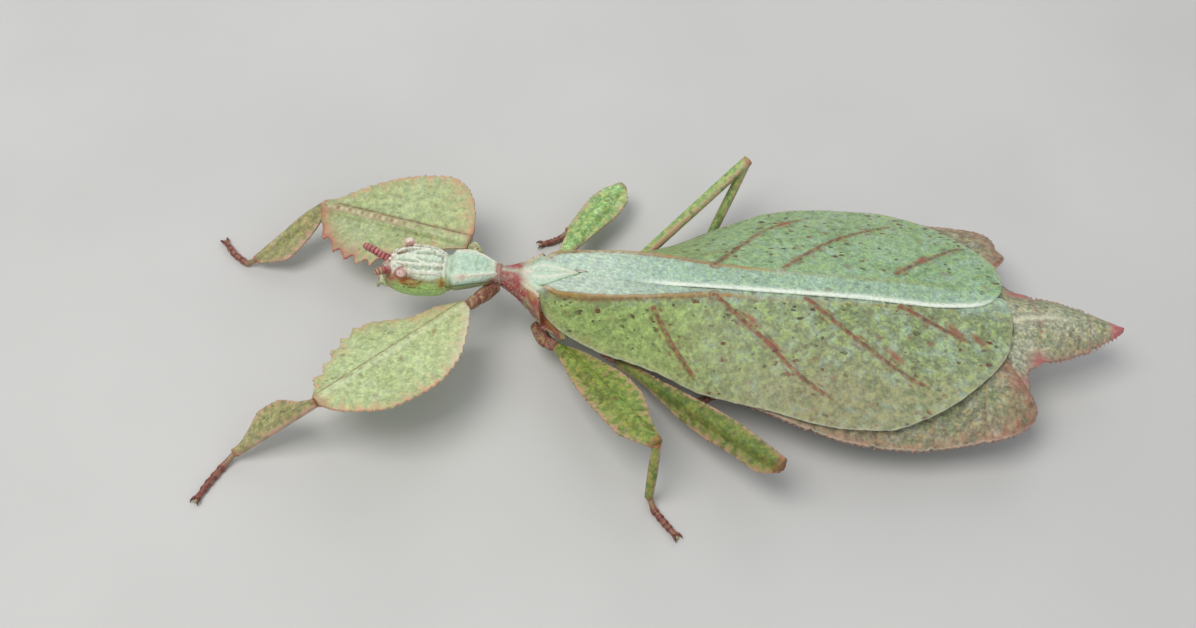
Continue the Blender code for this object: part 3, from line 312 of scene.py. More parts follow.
# Grains: where they lie across the shield as a share of its half width, their lines along the ridges of the
# head as (points as (x, distance from the middle), height above the skin), and the single knobs.
RIM_AT = 0.8
GRAIN_LINES = (
    ([(-43.6, 0.95), (-42.4, 1.45), (-39.6, 1.55), (-36.9, 1.1)], 0.16),
    ([(-41.4, 2.5), (-39.6, 2.6), (-37.6, 2.3)], 0.1),
)
HEAD_KNOBS = [(-34.9, -2.6, 12.25), (-35.2, 2.7, 12.35), (-44.6, 0.3, 12.6), (-43.9, 1.0, 12.9)]

# Other legs: how bright the green of each of them is in red, green and blue. Besides small differences of
# hue, these factors paint light and shade on one green: the left legs darker, the right legs brighter.
LEG_SHADE_AND_TINTS = {
    "mid_left": (0.84, 0.93, 0.45), "hind_left": (0.56, 0.64, 0.24),
    "mid_right": (1.5, 1.85, 2.2), "hind_right": (1.2, 1.45, 1.35),
}

# Stage: lights as (name, place, size, power, colour) in metres and watts.
LIGHTS = (
    ("key_light", (-0.22, -0.10, 0.52), 0.34, 1.9, (1.0, 0.98, 0.94)),
    ("fill_light", (0.35, -0.40, 0.38), 0.5, 0.7, (0.94, 0.97, 1.0)),
    ("back_light", (0.05, 0.50, 0.36), 0.4, 0.7, (1.0, 1.0, 1.0)),
)
LIGHT_TARGET = (0, 0, 0.008)
ROOM_TINT = (0.88, 0.93, 1.0, 1)
ROOM_STRENGTH = 0.40
FLOOR_REACH = 2.5
CAMERA_TURN = math.radians(-0.5)
CAMERA_TARGET = (-14.906, -3.391, 8.0)
SENSOR_WIDTH = 36
NEAR_AND_FAR = (0.005, 20)

# Where the body's frame lies in the model's frame.
SHIFT = np.array([
    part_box("abdomen_tip")[1].x / MM - TAIL_END,
    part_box("abdomen_tip")[0].y / MM - TAIL_DRIFT[0][1] + TAIL_HALF[0][1],
    0.0,
])


def place(points):
    """Body millimetres to metres in the model's frame."""
    return (np.asarray(points, float) + SHIFT) * MM


def curve(stations, x):
    """Monotone cubic curve through (x, value) stations, at every x of an array."""
    xs = np.array([s[0] for s in stations], float)
    ys = np.array([s[1] for s in stations], float)
    x = np.clip(np.asarray(x, float), xs[0], xs[-1])
    widths = np.diff(xs)
    steps = np.diff(ys) / widths
    slopes = np.zeros(len(xs))
    slopes[0], slopes[-1] = steps[0], steps[-1]
    for j in range(1, len(steps)):
        if steps[j - 1] * steps[j] > 0:
            slopes[j] = 2 * steps[j - 1] * steps[j] / (steps[j - 1] + steps[j])
    i = np.clip(np.searchsorted(xs, x, side="right") - 1, 0, len(widths) - 1)
    t = (x - xs[i]) / widths[i]
    start = (1 + 2 * t) * (1 - t) ** 2 * ys[i] + t * (1 - t) ** 2 * widths[i] * slopes[i]
    return start + t * t * (3 - 2 * t) * ys[i + 1] + t * t * (t - 1) * widths[i] * slopes[i + 1]


def ease(t):
    """Smooth step from 0 to 1."""
    t = np.clip(t, 0.0, 1.0)
    return t * t * (3 - 2 * t)


def bell(distance, width):
    """1 at no distance, falling softly to 0 past the width."""
    return np.exp(-((np.asarray(distance) / width) ** 2))


def ripple(x, y, size, phase=0.0):
    """Soft uneven waves between -1 and 1, with bumps of about that size."""
    k = 2 * math.pi / size
    first = np.sin(k * (0.8 * x + 0.6 * y) + phase) * np.sin(k * (0.5 * x - 0.9 * y) + 2.1 * phase + 1)
    second = np.sin(k * 1.7 * (x * 0.3 + y) + phase * 3 + 2) * np.sin(k * 1.9 * (x - 0.2 * y) + 0.5)
    return 0.6 * first + 0.4 * second


def saw(length, pitch):
    """Small forward-leaning teeth between 0 and 1 along a length."""
    share = np.mod(length / pitch, 1.0)
    return np.where(share < 0.7, share / 0.7, (1 - share) / 0.3)


def dome(share):
    """Quarter circle that rises from 0 to 1."""
    return np.sqrt(1 - (1 - np.clip(share, 0, 1)) ** 2)


def round_end(shares, start, least):
    """Factor that rounds off the last part of a limb, from a share of its length on."""
    return np.sqrt(np.clip(1 - np.clip((shares - start) / (1 - start), 0, 1) ** 2, least, 1))


def rounded_line(points, count=24):
    """More points on a smooth line through the given ones."""
    points = np.array(points, float)
    if len(points) < 3:
        return points
    padded = np.vstack([2 * points[0] - points[1], points, 2 * points[-1] - points[-2]])
    out = []
    for s in np.linspace(0, len(points) - 1, count):
        k = min(int(s), len(points) - 2)
        t = s - k
        a, b, c, d = padded[k], padded[k + 1], padded[k + 2], padded[k + 3]
        out.append(0.5 * (2 * b + (c - a) * t + (2 * a - 5 * b + 4 * c - d) * t * t
                          + (3 * b - a - 3 * c + d) * t ** 3))
    return np.array(out)


def grid(*parts):
    """Points from the arrays of their x, y and z."""
    return np.stack(np.broadcast_arrays(*parts), 2)


def strokes(x, y, table):
    """The strongest of the soft lines of a table, at every (x, y)."""
    return np.maximum.reduce([strength * bell(line_distance(x, y, line), width)
                              for line, strength, width in table])


def line_distance(x, y, line, taper=False):
    """Distance of every (x, y) from a line, and how far along it the nearest spot lies (0 to 1)."""
    line = rounded_line(line)
    best = np.full(np.shape(x), np.inf)
    along = np.zeros(np.shape(x))
    count = len(line) - 1
    for n, ((ax, ay), (bx, by)) in enumerate(zip(line, line[1:])):
        dx, dy = bx - ax, by - ay
        t = np.clip(((x - ax) * dx + (y - ay) * dy) / (dx * dx + dy * dy), 0, 1)
        d = np.hypot(x - ax - t * dx, y - ay - t * dy)
        nearer = d < best
        best = np.where(nearer, d, best)
        along = np.where(nearer, (n + t) / count, along)
    return (best, along) if taper else best


def outline_distance(points, outline, with_index=False):
    """Distance in plan of every point from the nearest point of an outline, and which one that is."""
    tree = kdtree.KDTree(len(outline))
    for n, spot in enumerate(outline):
        tree.insert((spot[0], spot[1], 0), n)
    tree.balance()
    flat = points.reshape(-1, 3)
    found = [tree.find((p[0], p[1], 0))[1:] for p in flat]
    gaps = np.array([f[1] for f in found]).reshape(points.shape[:-1])
    return (gaps, np.array([f[0] for f in found]).reshape(points.shape[:-1])) if with_index else gaps


def edge_distance(points):
    """Distance in plan of every point of a grid from its two sides and its rear edge."""
    return outline_distance(points, np.vstack([points[:, 0], points[-1], points[:, -1]]))


def wing_top(x, y):
    """Upper surface of the closed wings."""
    ridge = curve(WING_RIDGE, x)
    strip = curve(BACK_STRIP, x)
    half = curve(WING_HALF, x)
    hollow = curve(SLOPE_HOLLOW, x)
    t = np.maximum(0.0, (np.abs(y) - strip) / np.maximum(half - strip, 1.0))
    return ridge - (ridge - curve(WING_EDGE_Z, x)) * ((1 - hollow) * t + hollow * t * t)


def under_wings(x, y):
    """Highest level that the body may reach below the wings."""
    overlap = OVERLAP_STEP * (1 - ease((np.abs(y) - 3.0) / 1.6))
    outside = np.maximum(0.0, np.abs(y) - curve(WING_HALF, x) - 0.3)
    level = wing_top(x, y) - BODY_CLEARANCE - overlap + 4.0 * outside
    return np.where((x < WING_START - 0.15) | (x > WING_END["left"] + 0.5), np.inf, level)


def rear_shift(y):
    """How far the rear edge of the abdomen bulges back, and how far its middle lies forward."""
    away = np.abs(y)
    bulge = np.where(y < 0, LOBE_BULGE["left"], LOBE_BULGE["right"]) * bell(away - 14.4, 2.0)
    return bulge, REAR_HOLLOW * (1 - ease((away - 7.0) / 6.0))


def station_curves(stations, x, *columns):
    """Curves through the stations of head or thorax: half width 1, top 2, bottom 3, widest line 4."""
    return [curve([(s[0], s[k]) for s in stations], x) for k in columns]


def abdomen_place(x, y):
    """Where x lies once the rear edge of the abdomen bulges at the lobes and is hollow in the middle."""
    bulge, hollow = rear_shift(y)
    return x + bulge * ease((x - 40) / (ABDOMEN_END - 40)) - hollow * ease((x - 33) / (ABDOMEN_END - 33))


def tail_place(x, y):
    """The same for the narrow tip, whose front edge follows the abdomen."""
    bulge, hollow = rear_shift(y)
    return x + (bulge - hollow) * (1 - ease((x - TAIL_START) / 6.5))


def section_top(stations, x, y):
    """Height of the upper skin of the head or thorax at every (x, y)."""
    half, top, waist = station_curves(stations, x, 1, 2, 4)
    share = np.clip(np.abs(y - curve(BODY_ASIDE, x)) / half, 0, 1) ** (1 / ROUNDNESS)
    return waist + np.sqrt(1 - share ** 2) ** ROUNDNESS * (top - waist)


def new_object(name, points, faces, marks):
    """An object at the origin from points in body millimetres, closed and facing outward."""
    mesh = bpy.data.meshes.new(name)
    points = place(points)
    corners = points[np.array([f[:3] for f in faces])]
    others = points[np.array([(f[0], f[2], f[-1]) for f in faces])]
    volume = sum(np.einsum("ij,ij->", t[:, 0], np.cross(t[:, 1], t[:, 2])) for t in (corners, others))
    if volume < 0:
        faces = [tuple(reversed(f)) for f in faces]
    mesh.from_pydata(points.tolist(), [], faces)
    for mark, values in marks.items():
        layer = mesh.attributes.new(mark, "FLOAT", "POINT")
        layer.data.foreach_set("value", np.clip(values, 0, 1).astype(np.float32))
    mesh.shade_smooth()
    made = bpy.data.objects.new(name, mesh)
    bpy.context.scene.collection.objects.link(made)
    return made


def thin_skin(name, top, bottom, marks):
    """Closed thin skin between two grids of points."""
    rows, columns = top.shape[:2]
    count = rows * columns
    index = np.arange(count).reshape(rows, columns)
    quad = [index[:-1, :-1], index[:-1, 1:], index[1:, 1:], index[1:, :-1]]
    upper = np.stack([q.ravel() for q in quad], 1)
    lower = upper[:, ::-1] + count
    loop = np.concatenate([index[0, :-1], index[:-1, -1], index[-1, :0:-1], index[:0:-1, 0]])
    ahead = np.roll(loop, -1)
    rim = np.stack([ahead, loop, loop + count, ahead + count], 1)
    faces = [tuple(f) for f in np.vstack([upper, lower, rim]).tolist()]
    points = np.vstack([top.reshape(-1, 3), bottom.reshape(-1, 3)])
    both = {k: np.concatenate([np.ravel(v), np.ravel(v)]) for k, v in marks.items()}
    return new_object(name, points, faces, both)


def round_skin(name, rings, marks, bulge=0.25):
    """Closed skin round a row of rings, with domed ends."""
    rows, sides = rings.shape[:2]
    index = np.arange(rows * sides).reshape(rows, sides)
    nxt = np.roll(index, -1, axis=1)
    faces = np.stack([index[:-1].ravel(), nxt[:-1].ravel(), nxt[1:].ravel(), index[1:].ravel()], 1).tolist()
    faces = [tuple(f) for f in faces]
    middles = []
    for row, beside in ((0, 1), (-1, -2)):
        centre = rings[row].mean(0)
        away = centre - rings[beside].mean(0)
        away = away / max(np.linalg.norm(away), 1e-6)
        middles.append(centre + away * bulge * np.linalg.norm(rings[row] - centre, axis=1).mean())
    first, last = rows * sides, rows * sides + 1
    faces += [(int(nxt[0, j]), int(index[0, j]), first) for j in range(sides)]
    faces += [(int(index[-1, j]), int(nxt[-1, j]), last) for j in range(sides)]
    points = np.vstack([rings.reshape(-1, 3), middles])
    full = {}
    for mark, values in marks.items():
        if np.ndim(values) == 1:
            values = values[:, None]
        values = np.broadcast_to(values, (rows, sides))
        full[mark] = np.concatenate([values.ravel(), [values[0].mean(), values[-1].mean()]])
    return new_object(name, points, faces, full)


def limb_rings(points, radii, sides=20, floor=None, flatten=1.0):
    """Rings of a round limb along points; below the floor it is flattened."""
    points = np.array(points, float)
    ahead = np.gradient(points, axis=0)
    ahead /= np.linalg.norm(ahead, axis=1)[:, None]
    aside = np.cross(ahead, (0, 0, 1.0))
    aside /= np.maximum(np.linalg.norm(aside, axis=1), 1e-6)[:, None]
    above = np.cross(aside, ahead)
    angle = 2 * math.pi * (np.arange(sides) + 0.5) / sides
    radii = np.asarray(radii, float)
    if radii.ndim == 1:
        radii = np.repeat(radii[:, None], sides, 1)
    across = radii[:, :, None] * np.cos(angle)[None, :, None] * aside[:, None, :]
    up = radii[:, :, None] * np.sin(angle)[None, :, None] * above[:, None, :] * flatten
    rings = points[:, None, :] + across + up
    if floor is not None:
        rings[..., 2] = np.maximum(rings[..., 2], floor)
    return rings


def path_lengths(points):
    """Length of a line of points up to each of them."""
    return np.concatenate([[0], np.cumsum(np.linalg.norm(np.diff(points, axis=0), axis=1))])


def at_lengths(points, lengths, at):
    """Points of a line at given lengths along it."""
    return np.stack([np.interp(at, lengths, points[:, k]) for k in range(3)], 1)


def along_path(spots, shares):
    """Points at shares of the length of a smooth path."""
    spots = rounded_line(spots, 60)
    lengths = path_lengths(spots)
    return at_lengths(spots, lengths, np.asarray(shares) * lengths[-1])


def ball(rows, sides):
    """Directions from the middle of a ball in rings, from -x to +x."""
    turns = np.linspace(0.02, math.pi - 0.02, rows)[:, None]
    angle = (2 * math.pi * (np.arange(sides) + 0.5) / sides)[None, :]
    return -np.cos(turns) * np.ones_like(angle), np.sin(turns) * np.cos(angle), np.sin(turns) * np.sin(angle)


def nearest_gap(shares, seams):
    """Distance of every share from the nearest seam."""
    return np.minimum.reduce([np.abs(shares - seam) for seam in seams])


def smooth(values, reach):
    """Running mean over that many neighbours on each side."""
    count = 2 * reach + 1
    return np.convolve(np.pad(values, reach, mode="edge"), np.ones(count) / count, "valid")


class Finish:
    """Builds the shader nodes of one material."""

    def __init__(self, name, roughness, **constants):
        self.material = bpy.data.materials.new(name)
        self.material.use_nodes = True
        self.nodes = self.material.node_tree.nodes
        self.links = self.material.node_tree.links
        self.shader = self.nodes["Principled BSDF"]
        self.shader.inputs["Roughness"].default_value = roughness
        for socket, value in constants.items():
            self.shader.inputs[socket.replace("_", " ")].default_value = value
        self.mm = self.vector_math("SCALE", self.add("ShaderNodeTexCoord").outputs["Object"], 1000)

    def add(self, kind, **settings):
        """A new node with those settings."""
        node = self.nodes.new(kind)
        for key, value in settings.items():
            setattr(node, key, value)
        return node

    def put(self, socket, value):
        """Links a socket, or fills in a number or colour."""
        if isinstance(value, bpy.types.NodeSocket):
            self.links.new(value, socket)
        elif isinstance(value, tuple) and len(value) == 3 and socket.type == "RGBA":
            socket.default_value = (*value, 1)
        else:
            socket.default_value = value

    def math(self, operation, a, b=0.0, c=0.0):
        node = self.add("ShaderNodeMath", operation=operation)
        for socket, value in zip(node.inputs, (a, b, c)):
            self.put(socket, value)
        return node.outputs[0]

    def vector_math(self, operation, a, b):
        node = self.add("ShaderNodeVectorMath", operation=operation)
        self.put(node.inputs[0], a)
        self.put(node.inputs["Scale"] if operation == "SCALE" else node.inputs[1], b)
        return node.outputs[0]

    def noise(self, scale, detail=2.0, where=None, output="Fac"):
        node = self.add("ShaderNodeTexNoise")
        self.put(node.inputs["Vector"], where or self.mm)
        self.put(node.inputs["Scale"], scale)
        self.put(node.inputs["Detail"], detail)
        return node.outputs[output]

    def cells(self, scale, feature="F1", where=None):
        node = self.add("ShaderNodeTexVoronoi", feature=feature)
        self.put(node.inputs["Vector"], where or self.mm)
        self.put(node.inputs["Scale"], scale)
        return node

    def ramp(self, value, low, high, to_low=0.0, to_high=1.0):
        node = self.add("ShaderNodeMapRange", interpolation_type="SMOOTHSTEP")
        for key, item in zip(("Value", "From Min", "From Max", "To Min", "To Max"),
                             (value, low, high, to_low, to_high)):
            self.put(node.inputs[key], item)
        return node.outputs[0]

    def mark(self, name):
        """A mark of the mesh, from 0 to 1."""
        return self.add("ShaderNodeAttribute", attribute_name=name).outputs["Fac"]

    def mix(self, amount, a, b, blend="MIX"):
        node = self.add("ShaderNodeMix", data_type="RGBA", blend_type=blend)
        for socket, value in zip((node.inputs[0], node.inputs[6], node.inputs[7]), (amount, a, b)):
            self.put(socket, value)
        return node.outputs[2]

    def layers(self, colour, *tints):
        """Lays tints over a colour, each as strong as the product of its two masks."""
        for mask, other, tint in tints:
            colour = self.mix(self.math("MULTIPLY", mask, other), colour, tint)
        return colour

    def relief(self, height, strength, depth):
        node = self.add("ShaderNodeBump")
        node.inputs["Strength"].default_value = strength
        node.inputs["Distance"].default_value = depth * MM
        self.put(node.inputs["Height"], height)
        self.put(self.shader.inputs["Normal"], node.outputs[0])

    def colour(self, value):
        self.put(self.shader.inputs["Base Color"], value)


# Fine and coarse flecks of the skin: (cells per millimetre, share left out, size, stretch).
FLECKS = ((1.15, 0.42, 0.22, (0.62, 1.0, 1.0)), (0.62, 0.5, 0.2, (0.8, 1.35, 1.0)))


def leaf_finish(name, base, shade, rim, vein, pale, warm, red, fleck=(0.06, 0.065, 0.025), roughness=0.52,
                fleck_amount=0.8, cell_size=0.9, net=0.3, cream=(0.72, 0.70, 0.50), contrast=1.0):
    """Leaf-like skin: two greens in patches, dark flecks, a fine net, and tints where marks say."""
    f = Finish(name, roughness)
    bent = f.vector_math("ADD", f.mm, f.vector_math("SCALE", f.noise(0.9, 2, output="Color"), 0.9))
    broad = f.noise(0.13, 3)
    middle = f.noise(0.55, 3)
    small = f.noise(1.1, 3, bent)
    fine = f.noise(2.4, 3)
    colour = f.layers(
        f.mix(f.ramp(broad, 0.38, 0.62), base, shade),
        (f.ramp(middle, 0.46, 0.68), 0.5 * contrast, pale),
        (f.ramp(small, 0.48, 0.64), 0.55 * contrast, warm),
        (f.mark("warm"), f.ramp(middle, 0.2, 0.6, 0.55, 0.95), warm),
        (f.mark("pale"), f.ramp(small, 0.25, 0.65, 0.95, 0.55), pale),
    )
    tone = f.math("MULTIPLY", f.ramp(fine, 0.34, 0.66, 1 - 0.2 * contrast, 1 + 0.16 * contrast),
                  f.ramp(small, 0.36, 0.64, 1 - 0.22 * contrast, 1 + 0.18 * contrast))
    grey = f.add("ShaderNodeCombineColor")
    for socket in grey.inputs:
        f.put(socket, tone)
    colour = f.mix(1.0, colour, grey.outputs[0], "MULTIPLY")
    border = f.cells(cell_size, "DISTANCE_TO_EDGE", bent).outputs["Distance"]
    few = f.math("SUBTRACT", 1.0, f.math("MULTIPLY", f.mark("pale"), 0.7))
    crowd = f.ramp(f.noise(0.2, 2), 0.36, 0.58, 0.35, 1.0)
    dots = 0.0
    for scale, share, size, stretch in FLECKS:
        spots = f.cells(scale, "F1", f.vector_math("MULTIPLY", bent, stretch))
        picked = f.add("ShaderNodeSeparateColor")
        f.put(picked.inputs[0], spots.outputs["Color"])
        chosen = f.math("GREATER_THAN", picked.outputs[0], share)
        radius = f.math("MULTIPLY", picked.outputs[1], size)
        dot = f.ramp(f.math("SUBTRACT", spots.outputs["Distance"], radius), 0.02, 0.16, 1.0, 0.0)
        dots = f.math("MAXIMUM", dots, f.math("MULTIPLY", dot, chosen))
    dots = f.math("MULTIPLY", f.math("MULTIPLY", dots, f.ramp(fine, 0.3, 0.55, 0.4, 1.0)), crowd)
    tinted = f.mix(f.ramp(f.noise(0.7, 2), 0.44, 0.56), fleck, tuple(0.55 * c for c in vein))
    rust = f.ramp(f.cells(0.31, "F1", bent).outputs["Distance"], 0.06, 0.24, 1.0, 0.0)
    streaks = f.ramp(f.noise(1.4, 3), 0.3, 0.62, 0.55, 1.0)
    brown = f.mix(f.ramp(f.noise(0.8, 3), 0.45, 0.62), vein, tuple(0.5 * c for c in vein))
    colour = f.layers(
        colour,
        (f.ramp(border, 0.0, 0.09, 1.0, 0.0), net, warm),
        (f.math("MULTIPLY", dots, few), fleck_amount, tinted),
        (f.math("MULTIPLY", rust, f.ramp(fine, 0.42, 0.56, 0.0, 0.6)), few, vein),
        (f.mark("margin"), f.ramp(small, 0.36, 0.6, 0.2, 1.0), rim),
        (f.mark("amber"), streaks, AMBER),
        (f.mark("vein"), streaks, brown),
        (f.mark("red"), f.ramp(small, 0.3, 0.6, 0.6, 1.0), red),
        (f.mark("cream"), f.ramp(fine, 0.3, 0.6, 0.7, 1.0), cream),
    )
    f.colour(colour)
    f.put(f.shader.inputs["Roughness"], f.ramp(fine, 0.3, 0.7, roughness - 0.08, roughness + 0.14))
    height = f.math("MULTIPLY", f.ramp(border, 0.0, 0.16), -0.5)
    for part, share in ((fine, 0.8), (small, 0.8), (dots, -0.3)):
        height = f.math("MULTIPLY_ADD", part, share, height)
    f.relief(height, 0.45, 0.09)
    return f.material


def horn_finish(name, dark, bright, roughness=0.34):
    """Dark red, slightly shiny horn with lighter clouds and fine grooves."""
    f = Finish(name, roughness, Coat_Weight=0.15, Coat_Roughness=0.3)
    colour = f.mix(f.ramp(f.noise(1.1, 4), 0.35, 0.65), dark, bright)
    colour = f.layers(colour, (f.mark("pale"), 0.85, (0.40, 0.38, 0.18)))
    f.colour(f.mix(f.mark("vein"), colour, (0.10, 0.022, 0.02)))
    grooves = f.noise(5.5, 3)
    f.put(f.shader.inputs["Roughness"], f.ramp(grooves, 0.3, 0.7, roughness - 0.06, roughness + 0.16))
    f.relief(grooves, 0.35, 0.06)
    return f.material


def eye_finish(name, colour):
    """Pale pink eye of many small facets under a clear skin, darker red-brown where its dark mark says; on
    the lower half that is painted shade.
    """
    f = Finish(name, 0.22, Coat_Weight=0.6, Coat_Roughness=0.08)
    facets = f.cells(7.5, "F1").outputs["Distance"]
    tint = f.mix(f.ramp(f.noise(0.9, 3), 0.38, 0.62), colour, (0.62, 0.34, 0.30))
    tint = f.layers(tint, (f.ramp(facets, 0.3, 0.75), 0.4, (0.30, 0.14, 0.13)))
    f.colour(f.mix(f.mark("vein"), tint, (0.24, 0.07, 0.06)))
    f.relief(facets, 0.4, 0.03)
    return f.material


def grain_finish(name, light, deep):
    """Small hard grains, cream to pink from one to the next."""
    f = Finish(name, 0.42)
    colour = f.mix(f.ramp(f.noise(0.8, 2), 0.42, 0.58), light, deep)
    f.colour(f.layers(colour, (f.ramp(f.noise(6.0, 2), 0.4, 0.7), 0.4, (0.30, 0.10, 0.06))))
    f.relief(f.noise(9.0, 2), 0.3, 0.03)
    return f.material


def dress(piece, finish, slot, *nodes):
    """Gives a piece its finish and sets it in place of its nodes."""
    piece.data.materials.clear()
    piece.data.materials.append(finish)
    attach(piece, "root")
    if nodes:
        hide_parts(*nodes)
    return piece


def grain_tree():
    """Geometry nodes that set a small grain or spine on every point, pointing outward."""
    name = "grains_on_points"
    if name in bpy.data.node_groups:
        return bpy.data.node_groups[name]
    tree = bpy.data.node_groups.new(name, "GeometryNodeTree")
    face = tree.interface
    face.new_socket("Geometry", in_out="INPUT", socket_type="NodeSocketGeometry")
    for label, kind, start in (
        ("Radius", "NodeSocketFloat", 0.0002), ("Height", "NodeSocketFloat", 0.0002),
        ("Pointedness", "NodeSocketFloat", 0.0), ("Size Spread", "NodeSocketFloat", 0.3),
        ("Seed", "NodeSocketInt", 1), ("Finish", "NodeSocketMaterial", None),
    ):
        socket = face.new_socket(label, in_out="INPUT", socket_type=kind)
        if start is not None:
            socket.default_value = start
    face.new_socket("Geometry", in_out="OUTPUT", socket_type="NodeSocketGeometry")

    def node(kind, *inputs, **settings):
        """The outputs of a new node whose inputs are linked or filled in."""
        made = tree.nodes.new(kind)
        for key, value in settings.items():
            setattr(made, key, value)
        for key, value in inputs:
            if isinstance(value, bpy.types.NodeSocket):
                tree.links.new(value, made.inputs[key])
            else:
                made.inputs[key].default_value = value
        return made.outputs

    def math_node(operation, a, b):
        return node("ShaderNodeMath", (0, a), (1, b), operation=operation)[0]

    given = node("NodeGroupInput")
    ball = node("GeometryNodeMeshIcoSphere", ("Radius", 1.0), ("Subdivisions", 2))["Mesh"]
    x, y, z = node("ShaderNodeSeparateXYZ", (0, node("GeometryNodeInputPosition")[0]))
    upper = math_node("MAXIMUM", z, 0.0)
    keep = math_node("SUBTRACT", 1.0, math_node("MULTIPLY", upper, given["Pointedness"]))
    shape = node("ShaderNodeCombineXYZ", (0, math_node("MULTIPLY", x, keep)),
                 (1, math_node("MULTIPLY", y, keep)), (2, z))[0]
    grain = node("GeometryNodeSetPosition", ("Geometry", ball), ("Position", shape))[0]
    outward = node("GeometryNodeInputNamedAttribute", ("Name", "outward"), data_type="FLOAT_VECTOR")
    turn = node("FunctionNodeAlignRotationToVector", ("Vector", outward["Attribute"]), axis="Z")[0]
    low = math_node("SUBTRACT", 1.0, given["Size Spread"])
    high = math_node("ADD", 1.0, given["Size Spread"])
    draw = tree.nodes.new("FunctionNodeRandomValue")
    draw.data_type = "FLOAT"
    least, most = [socket for socket in draw.inputs if socket.type == "VALUE"][:2]
    for value, socket in ((low, least), (high, most), (given["Seed"], draw.inputs["Seed"])):
        tree.links.new(value, socket)
    share = [socket for socket in draw.outputs if socket.type == "VALUE"][0]
    sizes = node("ShaderNodeCombineXYZ", (0, given["Radius"]), (1, given["Radius"]), (2, given["Height"]))[0]
    size = node("ShaderNodeVectorMath", (0, sizes), ("Scale", share), operation="SCALE")[0]
    placed = node("GeometryNodeInstanceOnPoints", ("Points", given["Geometry"]), ("Instance", grain),
                  ("Rotation", turn), ("Scale", size))[0]
    real = node("GeometryNodeRealizeInstances", (0, placed))[0]
    soft = node("GeometryNodeSetShadeSmooth", ("Geometry", real))[0]
    finish = node("GeometryNodeSetMaterial", ("Geometry", soft), ("Material", given["Finish"]))[0]
    node("NodeGroupOutput", (0, finish))
    return tree


def set_grains(name, spots, outward, radius, height, pointed, spread, seed, finish):
    """One piece of many grains or spines: their places and directions come from arrays."""
    tree = grain_tree()
    mesh = bpy.data.meshes.new(name + "_points")
    mesh.from_pydata(place(spots).tolist(), [], [])
    layer = mesh.attributes.new("outward", "FLOAT_VECTOR", "POINT")
    layer.data.foreach_set("vector", np.asarray(outward, np.float32).ravel())
    holder = bpy.data.objects.new(name, mesh)
    bpy.context.scene.collection.objects.link(holder)
    change = holder.modifiers.new("grains", "NODES")
    change.node_group = tree
    values = {
        "Radius": radius * MM, "Height": height * MM, "Pointedness": pointed, "Size Spread": spread,
        "Seed": seed, "Finish": finish,
    }
    for item in tree.interface.items_tree:
        if item.item_type == "SOCKET" and item.in_out == "INPUT" and item.name in values:
            change[item.identifier] = values[item.name]
    bpy.context.view_layer.update()
    result = bpy.data.meshes.new_from_object(holder.evaluated_get(bpy.context.evaluated_depsgraph_get()))
    holder.modifiers.remove(change)
    holder.data = result
    bpy.data.meshes.remove(mesh)
    result.name = name
    if not result.vertices:
        raise RuntimeError(name + " came out empty")
    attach(holder, "root")
    return holder


def evenly(points, pitch, first=0.5):
    """Spots at an even pitch along a line of points, and the direction of the line there."""
    points = np.asarray(points, float)
    lengths = path_lengths(points)
    at = np.arange(pitch * first, lengths[-1], pitch)
    spots = at_lengths(points, lengths, at)
    ahead = at_lengths(points, lengths, at + 0.05) - spots
    return spots, ahead / np.maximum(np.linalg.norm(ahead, axis=1), 1e-9)[:, None]


def size_knob(name, description, default, low, high):
    """A length in metres that the panel shows."""
    return FloatProperty(name=name, description=description, default=default, min=low, max=high,
                         unit="LENGTH")


def colour_knob(name, description, default):
    """A colour that the panel shows."""
    return FloatVectorProperty(name=name, description=description, default=default, min=0, max=1,
                               subtype="COLOR")


class LeafInsectWings(bpy.types.PropertyGroup):
    """Sizes and colours of the fore wings."""

    thickness: size_knob("Thickness", "Thickness of the wing skin", 0.00055, 0.0002, 0.001)
    vein_height: size_knob("Vein Height", "How far the main veins stand up", 0.00026, 0.0, 0.0005)
    green: colour_knob("Green", "Main colour of the wings", (0.29, 0.40, 0.235))
    shade: colour_knob("Shade", "Darker green of the patches", (0.23, 0.335, 0.17))
    strip: colour_knob("Back Strip", "Pale strip along the back", (0.46, 0.62, 0.55))
    vein: colour_knob("Veins", "Rust brown of the veins", (0.25, 0.07, 0.035))
    base: colour_knob("Wing Base", "Yellow green near the root", (0.25, 0.34, 0.10))


class LeafInsectBody(bpy.types.PropertyGroup):
    """Sizes and colours of the head, thorax and abdomen."""

    serration: size_knob("Margin Teeth", "Length of the fine teeth of the margins", 0.00013, 0.0, 0.0004)
    eye_radius: size_knob("Eye Radius", "Radius of the eyes", 0.0007, 0.0005, 0.0012)
    grain_radius: size_knob("Grain Radius", "Radius of the grains of the skin", 0.00012, 0.00005, 0.0003)
    skin: colour_knob("Abdomen", "Main colour of the abdomen", (0.25, 0.265, 0.163))
    margin: colour_knob("Margin", "Pink of the margins", (0.47, 0.25, 0.19))
    red: colour_knob("Red", "Red of neck and hips", (0.36, 0.06, 0.055))
    eye: colour_knob("Eyes", "Pale pink of the eyes", (0.94, 0.78, 0.68))


class LeafInsectLegs(bpy.types.PropertyGroup):
    """Sizes and colours of the legs."""

    tooth_length: size_knob("Tooth Length", "Length of the large teeth of the fore legs", 0.0011, 0.0, 0.0015)
    spine_length: size_knob("Spine Length", "Length of the small spines of the margins", 0.00026, 0.0001,
                            0.0006)
    lime: colour_knob("Fore Legs", "Pale lime of the fore femora", (0.51, 0.61, 0.31))
    green: colour_knob("Other Legs", "Green of the other femora", (0.25, 0.36, 0.12))
    edge: colour_knob("Edges", "Salmon of the serrate edges", (0.63, 0.34, 0.22))
    horn: colour_knob("Joints", "Dark red of joints and claws", (0.20, 0.045, 0.035))


